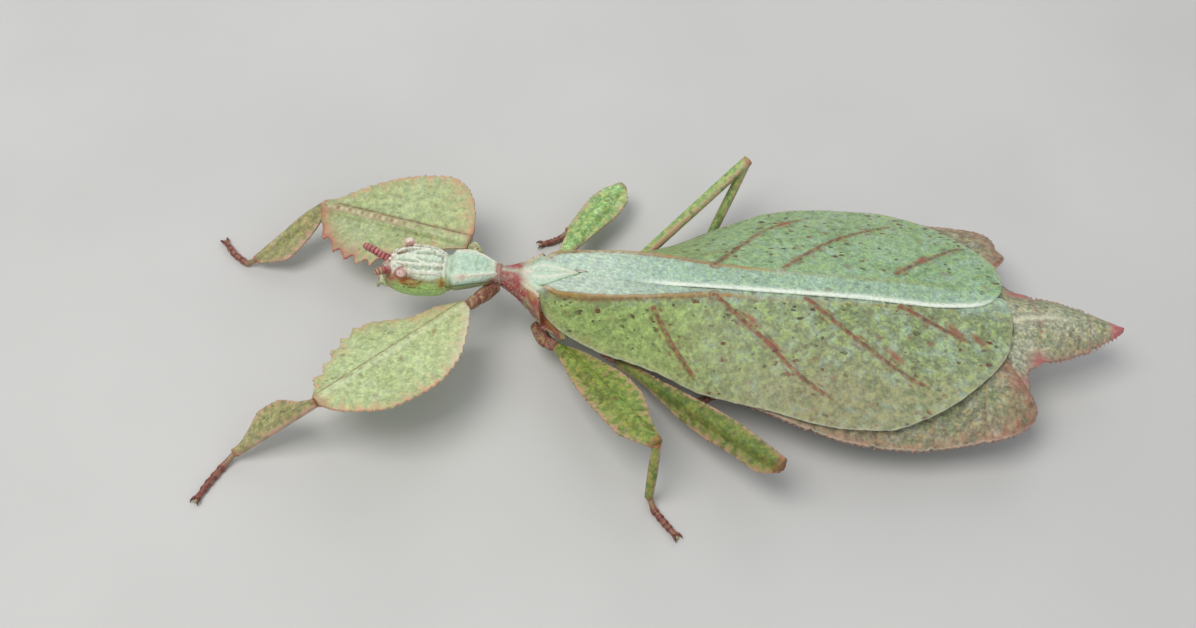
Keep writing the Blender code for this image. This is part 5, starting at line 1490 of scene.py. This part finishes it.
def blade_skin(name, start, end, roll, front, back, finish, node, rows, columns, fine, pitch, teeth="none",
               tooth=0.0, red_end=0.5, patches=0.0, rim=0.6):
    """Leg segment: a ribbed shaft with a thin toothed lobe on each side; returns its two edges."""
    start, along, aside, above, length = blade_frame(start, end, roll)
    s = np.linspace(0, 1, rows)
    widths = {"front": curve(front, s), "rear": curve(back, s)}
    shaft = np.minimum(SHAFT_HALF, np.minimum(widths["front"], widths["rear"]) * 0.8)
    for key, width in widths.items():
        lobe = ease((width - 1.6) / 1.5)
        width = width + fine * (saw(s * length, pitch) - 0.6) * (0.25 + lobe)
        if teeth == key:
            for k in TEETH_AT:
                width = width + tooth * np.clip(1 - np.abs(s - k) * 24, 0, 1) ** 1.25
        widths[key] = width

    # Grid over the blade: rows from the root to the end, columns from the rear edge to the front edge.
    p = np.linspace(-1, 1, columns)
    at_front = p > 0
    width = np.where(at_front, widths["front"][:, None], widths["rear"][:, None])
    q = np.abs(p)
    out = width * (0.35 * q + 0.65 * q * q * (3 - 2 * q))
    offset = np.where(at_front, out, -out)
    run = s[:, None] * length * np.ones_like(offset)
    to_edge = width - out
    rim_line = [np.stack([s * length, side, 0 * s], 1) for side in (-widths["rear"], widths["front"])]
    arc = [np.cumsum(np.hypot(*np.diff(line[:, :2], axis=0, prepend=line[:1, :2]).T)) for line in rim_line]
    to_rim, nearest = outline_distance(grid(run, offset, 0.0), np.vstack(rim_line), True)
    scallop = 0.5 + 0.5 * np.cos(2 * math.pi * np.concatenate(arc)[nearest] / (2 * pitch))

    # Rib along the middle, faint fans on the lobes, and the two surfaces.
    core = shaft[:, None]
    rib = 0.55 * np.maximum(0, 1 - (out / (core * 1.35)) ** 2) ** 1.1
    beside = bell(out - core * 1.32, 0.17) * ease((width - 2.2) / 1.0)
    lift = 0.13 + 0.15 * dome(to_edge / 1.2) + rib - 0.05 * beside
    fans = bell(np.abs(np.mod((run - 0.75 * out) / 1.9, 1.0) - 0.5) * 1.9, 0.17)
    fans = fans * ease((out - core * 1.5) / 0.8) * ease((width - 2.5) / 1.0)
    wave = 0.10 * ripple(run, offset, 5.0, length) * ease(to_edge / 2.0) * ease((out - core) / 1.2)
    cup = -0.35 * np.clip((out - core) / 8.0, 0, 1) ** 2 * ease((width - 4) / 3)
    middle = start + along * run[..., None] + aside * offset[..., None] + above * (wave + cup)[..., None]
    top = middle + above * (lift + 0.04 * fans + 0.03 * ripple(run, offset, 1.2))[..., None]
    bottom = middle - above * (lift + 0.03 * fans)[..., None]
    bottom[..., 2] = np.maximum(bottom[..., 2], LOWEST_BLADE)

    # Tints.
    toothed, share = teeth != "none", s[:, None]
    lobe = ease((width - 1.2) / 1.5)
    band = patches * lobe * ease((core * 0.85 - out) / 0.3) * ease((share - 0.3) / 0.2)
    blotches, dashes = ripple_mask(run, 3.7), ripple_mask(run, 3.5)
    rim = rim * (1 + 1.2 * toothed * ease((0.3 - share) / 0.1) * ~at_front)
    midline = bell(offset + core * 0.75, 0.3) * lobe * (1 - band) * (1 if toothed else 0.25)
    pale_lines = np.maximum(0.4 * bell(out - core * 0.5, 0.16) * lobe * toothed,
                            0.8 * band * bell(offset, core * 0.5) * (1 - blotches))
    # Pale cream on the front edge near the root of the fore left femur: partly its own colour, partly a
    # painted highlight along that edge.
    pale_root = 0.7 * (teeth == "rear") * ease((0.4 - share) / 0.15) * np.exp(-to_rim / 0.8) * at_front
    ends = red_end * np.maximum(ease((share - 0.955) / 0.03), ease((0.03 - share) / 0.03))
    marks = {
        "amber": 0.7 * band,
        "margin": np.maximum(0.95 * np.exp(-to_rim / 0.3), lobe * np.exp(-to_rim / (rim * (0.35 + scallop)))),
        "vein": band * np.maximum(0.75 * blotches, bell(out - core * 0.62, 0.2)) + midline
        + 0.4 * beside * dashes + 0.10 * fans,
        "cream": pale_lines + pale_root,
        "red": np.maximum(ends, patches * ease((share - 0.6) / 0.1) * np.exp(-to_rim / 1.1) * at_front),
        "warm": 0.6 * ease((0.5 - share) / 0.5) * lobe,
    }
    dress(thin_skin(name, top, bottom, marks), finish, "leg", node)
    return {"rear": middle[:, 0], "front": middle[:, -1]}, aside


def ripple_mask(run, size):
    """Uneven patches between 0 and 1 along a length."""
    return ease(0.5 + 0.5 * np.sin(run * 2 * math.pi / size) * np.sin(run * 2 * math.pi / (size * 0.37) + 1))


class LEAFINSECT_OT_legs(bpy.types.Operator):
    """Build coxae, lobed femora and tibiae of the six legs, with spines on their edges"""

    bl_idname = "leaf_insect.legs"
    bl_label = "Legs"

    def execute(self, context):
        legs = context.scene.leaf_insect_legs
        skins = {}
        for leg, bright in (("fore_left", 1.0), ("fore_right", 0.88)):
            lime, shade, light, warm = (
                tuple(bright * v for v in colour)
                for colour in (legs.lime, (0.44, 0.54, 0.24), (0.60, 0.68, 0.42), (0.50, 0.56, 0.24)))
            skins[leg] = leaf_finish("lobe_skin_" + leg, lime, shade, tuple(legs.edge), (0.24, 0.12, 0.04),
                                     light, warm, (0.42, 0.10, 0.08), fleck_amount=0.45, roughness=0.5,
                                     contrast=0.8)
        # Each of the other legs gets the same greens scaled by its factors: painted light and shade, with
        # some hue of its own.
        for leg, tint in LEG_SHADE_AND_TINTS.items():
            green, shade, light, warm = (
                tuple(v * t for v, t in zip(colour, tint))
                for colour in (legs.green, (0.17, 0.26, 0.06), (0.34, 0.42, 0.18), (0.29, 0.28, 0.07)))
            skins[leg] = leaf_finish("leg_skin_" + leg, green, shade, (0.55, 0.30, 0.21), (0.20, 0.08, 0.03),
                                     light, warm, (0.36, 0.07, 0.05), fleck_amount=0.7, roughness=0.5,
                                     contrast=1.3)
        olive = leaf_finish("fore_tibia_skin", (0.35, 0.37, 0.15), (0.27, 0.29, 0.10), (0.58, 0.33, 0.25),
                            (0.22, 0.09, 0.05), (0.42, 0.43, 0.24), (0.36, 0.30, 0.10), (0.42, 0.10, 0.08),
                            fleck_amount=0.6, contrast=1.15)
        horn = leaf_finish("hip_skin", (0.27, 0.085, 0.055), (0.18, 0.05, 0.03), (0.50, 0.28, 0.20),
                           (0.16, 0.03, 0.03), (0.44, 0.30, 0.20), (0.36, 0.30, 0.12), (0.28, 0.04, 0.05),
                           fleck_amount=0.5, cell_size=2.4)
        spine = grain_finish("spine_horn", (0.66, 0.40, 0.27), (0.56, 0.20, 0.15))
        seed = context.scene.leaf_insect_stage.seed
        for n, (leg, sizes) in enumerate(LEGS.items()):
            wide = leg.startswith("fore")
            look = BROAD_BLADE if wide else SLIM_BLADE
            self.hip(leg, sizes, skins[leg] if leg == "fore_right" else horn)
            edges, aside = blade_skin("femur_skin_" + leg, sizes["hip"], sizes["knee"], sizes["roll"],
                                      sizes["front"], sizes["rear"], skins[leg], "femur_" + leg,
                                      teeth=sizes["teeth"], tooth=legs.tooth_length / MM,
                                      patches=0.9 if leg == "fore_right" else 0.0, **look)
            blade_skin("tibia_skin_" + leg, sizes["knee"], sizes["ankle"], 0, sizes["tibia_front"],
                       sizes["tibia_rear"], olive if wide else skins[leg], "tibia_" + leg, rows=150,
                       columns=60, fine=0.06, pitch=0.8, red_end=0.75)
            self.spines(leg, edges, aside, legs, spine, seed + n, wide)
        return {"FINISHED"}

    def hip(self, leg, sizes, horn):
        """The knobbly coxa of a leg, with the seam near its end."""
        shares = np.linspace(0, 1, 80)
        radii = sizes["radius"] * curve(HIP_RADII, shares)
        sides = 44
        angle = 2 * math.pi * (np.arange(sides) + 0.5) / sides
        knots = ripple(shares[:, None] * 9, angle[None, :] * 1.6, 1.4)
        rings = limb_rings(along_path(sizes["coxa"], shares), radii[:, None] * (1 + 0.07 * knots), sides)
        marks = {
            "vein": 0.8 * bell(shares - 0.72, 0.02), "pale": 0.35 * ease((shares - 0.8) / 0.2),
            "margin": 0.5 * np.maximum(0, knots), "warm": 0.35 * ease(-np.sin(angle))[None, :],
        }
        dress(round_skin("hip_skin_" + leg, rings, marks, 0.5), horn, "joint", "coxa_" + leg)

    def spines(self, leg, edges, aside, legs, spine, seed, wide):
        """Small spines along both edges of a femur."""
        places, outs = [], []
        for key, sign in (("front", 1), ("rear", -1)):
            spots, ahead = evenly(edges[key], 0.85 if wide else 0.8)
            places.append((spots - sign * aside * 0.06)[2:-2])
            outs.append((sign * aside + 0.55 * ahead)[2:-2])
        length = legs.spine_length / MM * (1.0 if wide else 0.75)
        set_grains("edge_spines_" + leg, np.vstack(places), np.vstack(outs), 0.13, length, 0.9, 0.35, seed,
                   spine)


class LEAFINSECT_OT_feet(bpy.types.Operator):
    """Build the jointed feet with pads and paired claws"""

    bl_idname = "leaf_insect.feet"
    bl_label = "Feet"

    def execute(self, context):
        legs = context.scene.leaf_insect_legs
        dark = horn_finish("foot_horn", tuple(legs.horn), (0.30, 0.13, 0.07))
        claw = horn_finish("claw_horn", (0.10, 0.022, 0.018), (0.20, 0.05, 0.03), 0.26)
        for leg, sizes in LEGS.items():
            spots = np.array([sizes["ankle"]] + [(x, y, TARSUS_HEIGHT) for x, y in sizes["foot"]], float)
            lengths = path_lengths(spots)
            shares = np.linspace(0.0, 1, 150)
            line = at_lengths(spots, lengths, shares * lengths[-1])
            line = np.stack([smooth(line[:, k], 4) for k in range(3)], 1)
            radii = smooth(0.5 * np.interp(shares, TARSUS_JOINTS, TARSUS_SWELL), 3)
            radii = radii * round_end(shares, 0.965, 0.05)
            rings = limb_rings(line, radii, 26, floor=0.0)
            seams = nearest_gap(shares, TARSUS_SEAMS)
            marks = {"vein": 0.85 * bell(seams, 0.02), "pale": 0.5 * ease((0.36 - shares) / 0.3)}
            dress(round_skin("foot_skin_" + leg, rings, marks, 0.3), dark, "joint", "tarsus_" + leg)
            self.claws(leg, spots, claw, dark)
        return {"FINISHED"}

    def claws(self, leg, spots, claw, dark):
        """The two claws of a foot and the pad between them."""
        ahead = spots[-1] - spots[-2]
        ahead = ahead / np.linalg.norm(ahead)
        up = np.array((0, 0, 1.0))
        aside = np.cross(ahead, up)
        for side, sign in SIDES:
            path = [spots[-1] + ahead * a + aside * sign * b + up * c for a, b, c in CLAW_STEPS]
            shares = np.linspace(0, 1, 40)
            rings = limb_rings(along_path(path, shares), curve(CLAW_RADII, shares), 16, floor=0.03)
            dress(round_skin("claw_" + side + "_" + leg, rings, {"vein": 0.5 * shares}), claw, "joint")
        path = [spots[-1] + ahead * a - up * c for a, c in PAD_STEPS]
        shares = np.linspace(0, 1, 30)
        radii = PAD_HALF * np.sqrt(np.clip(1 - (2 * shares - 1) ** 2, 0.03, 1)) + 0.02
        rings = limb_rings(along_path(path, shares), radii, 18, floor=0.0, flatten=0.7)
        dress(round_skin("pad_" + leg, rings, {"pale": 0.9}), dark, "joint")


class LEAFINSECT_OT_grains(bpy.types.Operator):
    """Set the grains of head, shield and thorax and the fine teeth of the abdomen"""

    bl_idname = "leaf_insect.grains"
    bl_label = "Grains and Fine Teeth"

    def execute(self, context):
        scene = context.scene
        radius = scene.leaf_insect_body.grain_radius / MM
        seed = scene.leaf_insect_stage.seed
        cream = grain_finish("grain_cream", (0.84, 0.82, 0.68), (0.70, 0.66, 0.52))
        pink = grain_finish("grain_pink", (0.54, 0.24, 0.19), (0.38, 0.09, 0.08))
        self.shield_grains(radius, seed, cream)
        self.thorax_grains(radius, seed, pink)
        self.margin_teeth(scene.leaf_insect_body.serration / MM, seed, pink)
        return {"FINISHED"}

    def shield_grains(self, radius, seed, cream):
        """Grains along the raised rim of the shield and the ridges of the head."""
        spots = []
        for sign in (-1, 1):
            x = np.linspace(-35.6, -30.0, 26)
            half, top, waist = station_curves(PROTHORAX, x, 1, 2, 4)
            rise = np.sqrt(1 - RIM_AT ** (2 / ROUNDNESS)) ** ROUNDNESS
            y = sign * RIM_AT * half + curve(BODY_ASIDE, x)
            spots.append(np.stack([x, y, waist + rise * (top - waist) + 0.12], 1))
            for line, lift in GRAIN_LINES:
                path = rounded_line(line, 17)
                y = sign * path[:, 1] + curve(BODY_ASIDE, path[:, 0])
                spots.append(np.stack([path[:, 0], y, section_top(HEAD, path[:, 0], y) + lift], 1))
        spots = np.vstack(spots)
        up = np.tile((0, 0, 1.0), (len(spots), 1))
        set_grains("shield_grains", spots, up, radius, radius, 0.3, 0.45, seed, cream)
        knobs = np.array(HEAD_KNOBS)
        up = np.tile((0, 0, 1.0), (len(knobs), 1))
        set_grains("head_knobs", knobs, up, radius * 1.9, radius * 1.7, 0.2, 0.2, seed + 1, cream)

    def thorax_grains(self, radius, seed, pink):
        """Red grains on the flanks of the thorax and the hips."""
        spots, outs = [], []
        for sign in (-1, 1):
            for row, level in enumerate((0.15, 0.5, 0.85)):
                x = np.linspace(-28.6 + 0.2 * row, -19.8, 22)
                half, top, waist = station_curves(MESOTHORAX, x, 1, 2, 4)
                angle = level * 0.9
                y = half * math.cos(angle) ** ROUNDNESS
                z = np.minimum(waist + math.sin(angle) ** ROUNDNESS * (top - waist), under_wings(x, y) + 0.05)
                spots.append(np.stack([x, sign * y + curve(BODY_ASIDE, x), z], 1))
                outs.append(np.tile((0, sign * math.cos(angle), math.sin(angle)), (len(x), 1)))
        for leg, sizes in LEGS.items():
            path = along_path(sizes["coxa"], np.linspace(0.15, 0.95, 13))
            sign = -1 if leg.endswith("left") else 1
            for turn in (0.2, 1.0, 1.8):
                out = np.array((-0.75 * math.cos(turn), 0.4 * sign * math.cos(turn), math.sin(turn)))
                out = out / np.linalg.norm(out)
                spots.append(path + out * sizes["radius"] * 0.93)
                outs.append(np.tile(out, (len(path), 1)))
        set_grains("thorax_grains", np.vstack(spots), np.vstack(outs), radius * 1.05, radius * 1.2, 0.6, 0.5,
                   seed + 2, pink)

    def margin_teeth(self, tooth, seed, pink):
        """Fine teeth along the margins of the abdomen and its tip."""
        spots, outs = [], []
        x = np.linspace(-7.5, 44.8, 500)
        half, edge = curve(ABDOMEN_HALF, x), curve(ABDOMEN_EDGE_Z, x)
        tail_x = np.linspace(46.0, 59.6, 200)
        tail_half, tail_edge = curve(TAIL_HALF, tail_x), curve(TAIL_EDGE_Z, tail_x)
        for sign in (-1, 1):
            y = sign * half
            tail_y = sign * tail_half + curve(TAIL_DRIFT, tail_x)
            for line in (np.stack([abdomen_place(x, y), y, edge - 0.25], 1),
                         np.stack([tail_place(tail_x, tail_y), tail_y, tail_edge - 0.25], 1)):
                places, ahead = evenly(line, 0.75)
                out = np.cross(ahead, (0, 0, sign * 1.0)) + 0.4 * ahead
                spots.append(places - out * 0.12)
                outs.append(out)
        set_grains("margin_teeth", np.vstack(spots), np.vstack(outs), 0.11, tooth * 1.3, 0.8, 0.35, seed + 3,
                   pink)


def aim(thing, target):
    """Turns a light towards a point."""
    thing.rotation_euler = (Vector(target) - thing.location).to_track_quat("-Z", "Y").to_euler()


class LEAFINSECT_OT_stage(bpy.types.Operator):
    """Lay the pale floor, set the soft lights and place the camera"""

    bl_idname = "leaf_insect.stage"
    bl_label = "Stage"

    def execute(self, context):
        scene = context.scene
        stage = scene.leaf_insect_stage
        self.floor(scene, tuple(stage.floor))
        self.lights(scene)
        self.camera(scene, stage)
        return {"FINISHED"}

    def floor(self, scene, tint):
        """Pale card under the insect."""
        mesh = bpy.data.meshes.new("floor")
        corners = [(x * FLOOR_REACH, y * FLOOR_REACH, 0) for x, y in ((-1, -1), (1, -1), (1, 1), (-1, 1))]
        mesh.from_pydata(corners, [], [(0, 1, 2, 3)])
        floor = bpy.data.objects.new("floor", mesh)
        scene.collection.objects.link(floor)
        f = Finish("floor_card", 0.7)
        f.colour(f.mix(f.ramp(f.noise(0.02, 3), 0.3, 0.7), tint, tuple(c * 0.94 for c in tint)))
        f.relief(f.noise(1.6, 3), 0.12, 0.05)
        mesh.materials.append(f.material)

    def lights(self, scene):
        """Soft room light and three broad lamps."""
        world = bpy.data.worlds.new("soft_room")
        world.use_nodes = True
        background = world.node_tree.nodes["Background"]
        background.inputs["Color"].default_value = ROOM_TINT
        background.inputs["Strength"].default_value = ROOM_STRENGTH
        scene.world = world
        scene.view_settings.view_transform = "Standard"
        for name, where, size, power, tint in LIGHTS:
            lamp = bpy.data.lights.new(name, "AREA")
            lamp.size = size
            lamp.energy = power
            lamp.color = tint
            light = bpy.data.objects.new(name, lamp)
            light.location = where
            scene.collection.objects.link(light)
            aim(light, LIGHT_TARGET)

    def camera(self, scene, stage):
        """The camera in the place from which the photograph was taken."""
        turn, rise, roll = CAMERA_TURN, stage.elevation, stage.roll
        back = Vector((math.sin(turn) * math.cos(rise), -math.cos(turn) * math.cos(rise), math.sin(rise)))
        level = Vector((math.cos(turn), math.sin(turn), 0))
        up = level.cross(-back)
        right = math.cos(roll) * level + math.sin(roll) * up
        over = -math.sin(roll) * level + math.cos(roll) * up
        target = Vector(place(CAMERA_TARGET).tolist())
        camera = bpy.data.objects.new("camera", bpy.data.cameras.new("camera"))
        scene.collection.objects.link(camera)
        camera.data.lens = stage.lens
        camera.data.sensor_width = SENSOR_WIDTH
        camera.data.clip_start, camera.data.clip_end = NEAR_AND_FAR
        turned = Matrix((right, over, back)).transposed().to_4x4()
        camera.matrix_world = Matrix.Translation(target + back * stage.distance) @ turned
        scene.camera = camera


class LEAFINSECT_PT_panel(bpy.types.Panel):
    """Lists the steps that build the insect"""

    bl_idname = "LEAFINSECT_PT_panel"
    bl_label = "Leaf Insect"
    bl_space_type = "VIEW_3D"
    bl_region_type = "UI"
    bl_category = "Leaf Insect"

    def draw(self, context):
        layout = self.layout
        for name in GROUPS:
            group = getattr(context.scene, name)
            box = layout.box()
            for knob in group.__annotations__:
                box.prop(group, knob)
        for step in STEPS:
            layout.operator(step.bl_idname)


STEPS = (
    LEAFINSECT_OT_wings, LEAFINSECT_OT_abdomen, LEAFINSECT_OT_thorax, LEAFINSECT_OT_head, LEAFINSECT_OT_eyes,
    LEAFINSECT_OT_feelers, LEAFINSECT_OT_legs, LEAFINSECT_OT_feet, LEAFINSECT_OT_grains, LEAFINSECT_OT_stage,
)
GROUPS = {
    "leaf_insect_wings": LeafInsectWings, "leaf_insect_body": LeafInsectBody,
    "leaf_insect_legs": LeafInsectLegs, "leaf_insect_stage": LeafInsectStage,
}
CLASSES = (*GROUPS.values(), *STEPS, LEAFINSECT_PT_panel)


def register():
    """Registers the panel, its settings and the steps."""
    for kind in CLASSES:
        bpy.utils.register_class(kind)
    for name, group in GROUPS.items():
        setattr(bpy.types.Scene, name, PointerProperty(type=group))


def unregister():
    """Removes them again."""
    for name in GROUPS:
        delattr(bpy.types.Scene, name)
    for kind in reversed(CLASSES):
        bpy.utils.unregister_class(kind)


def main():
    """Builds the insect step by step."""
    register()
    for step in STEPS:
        group, name = step.bl_idname.split(".")
        getattr(getattr(bpy.ops, group), name)()
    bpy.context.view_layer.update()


if __name__ == "__main__":
    main()
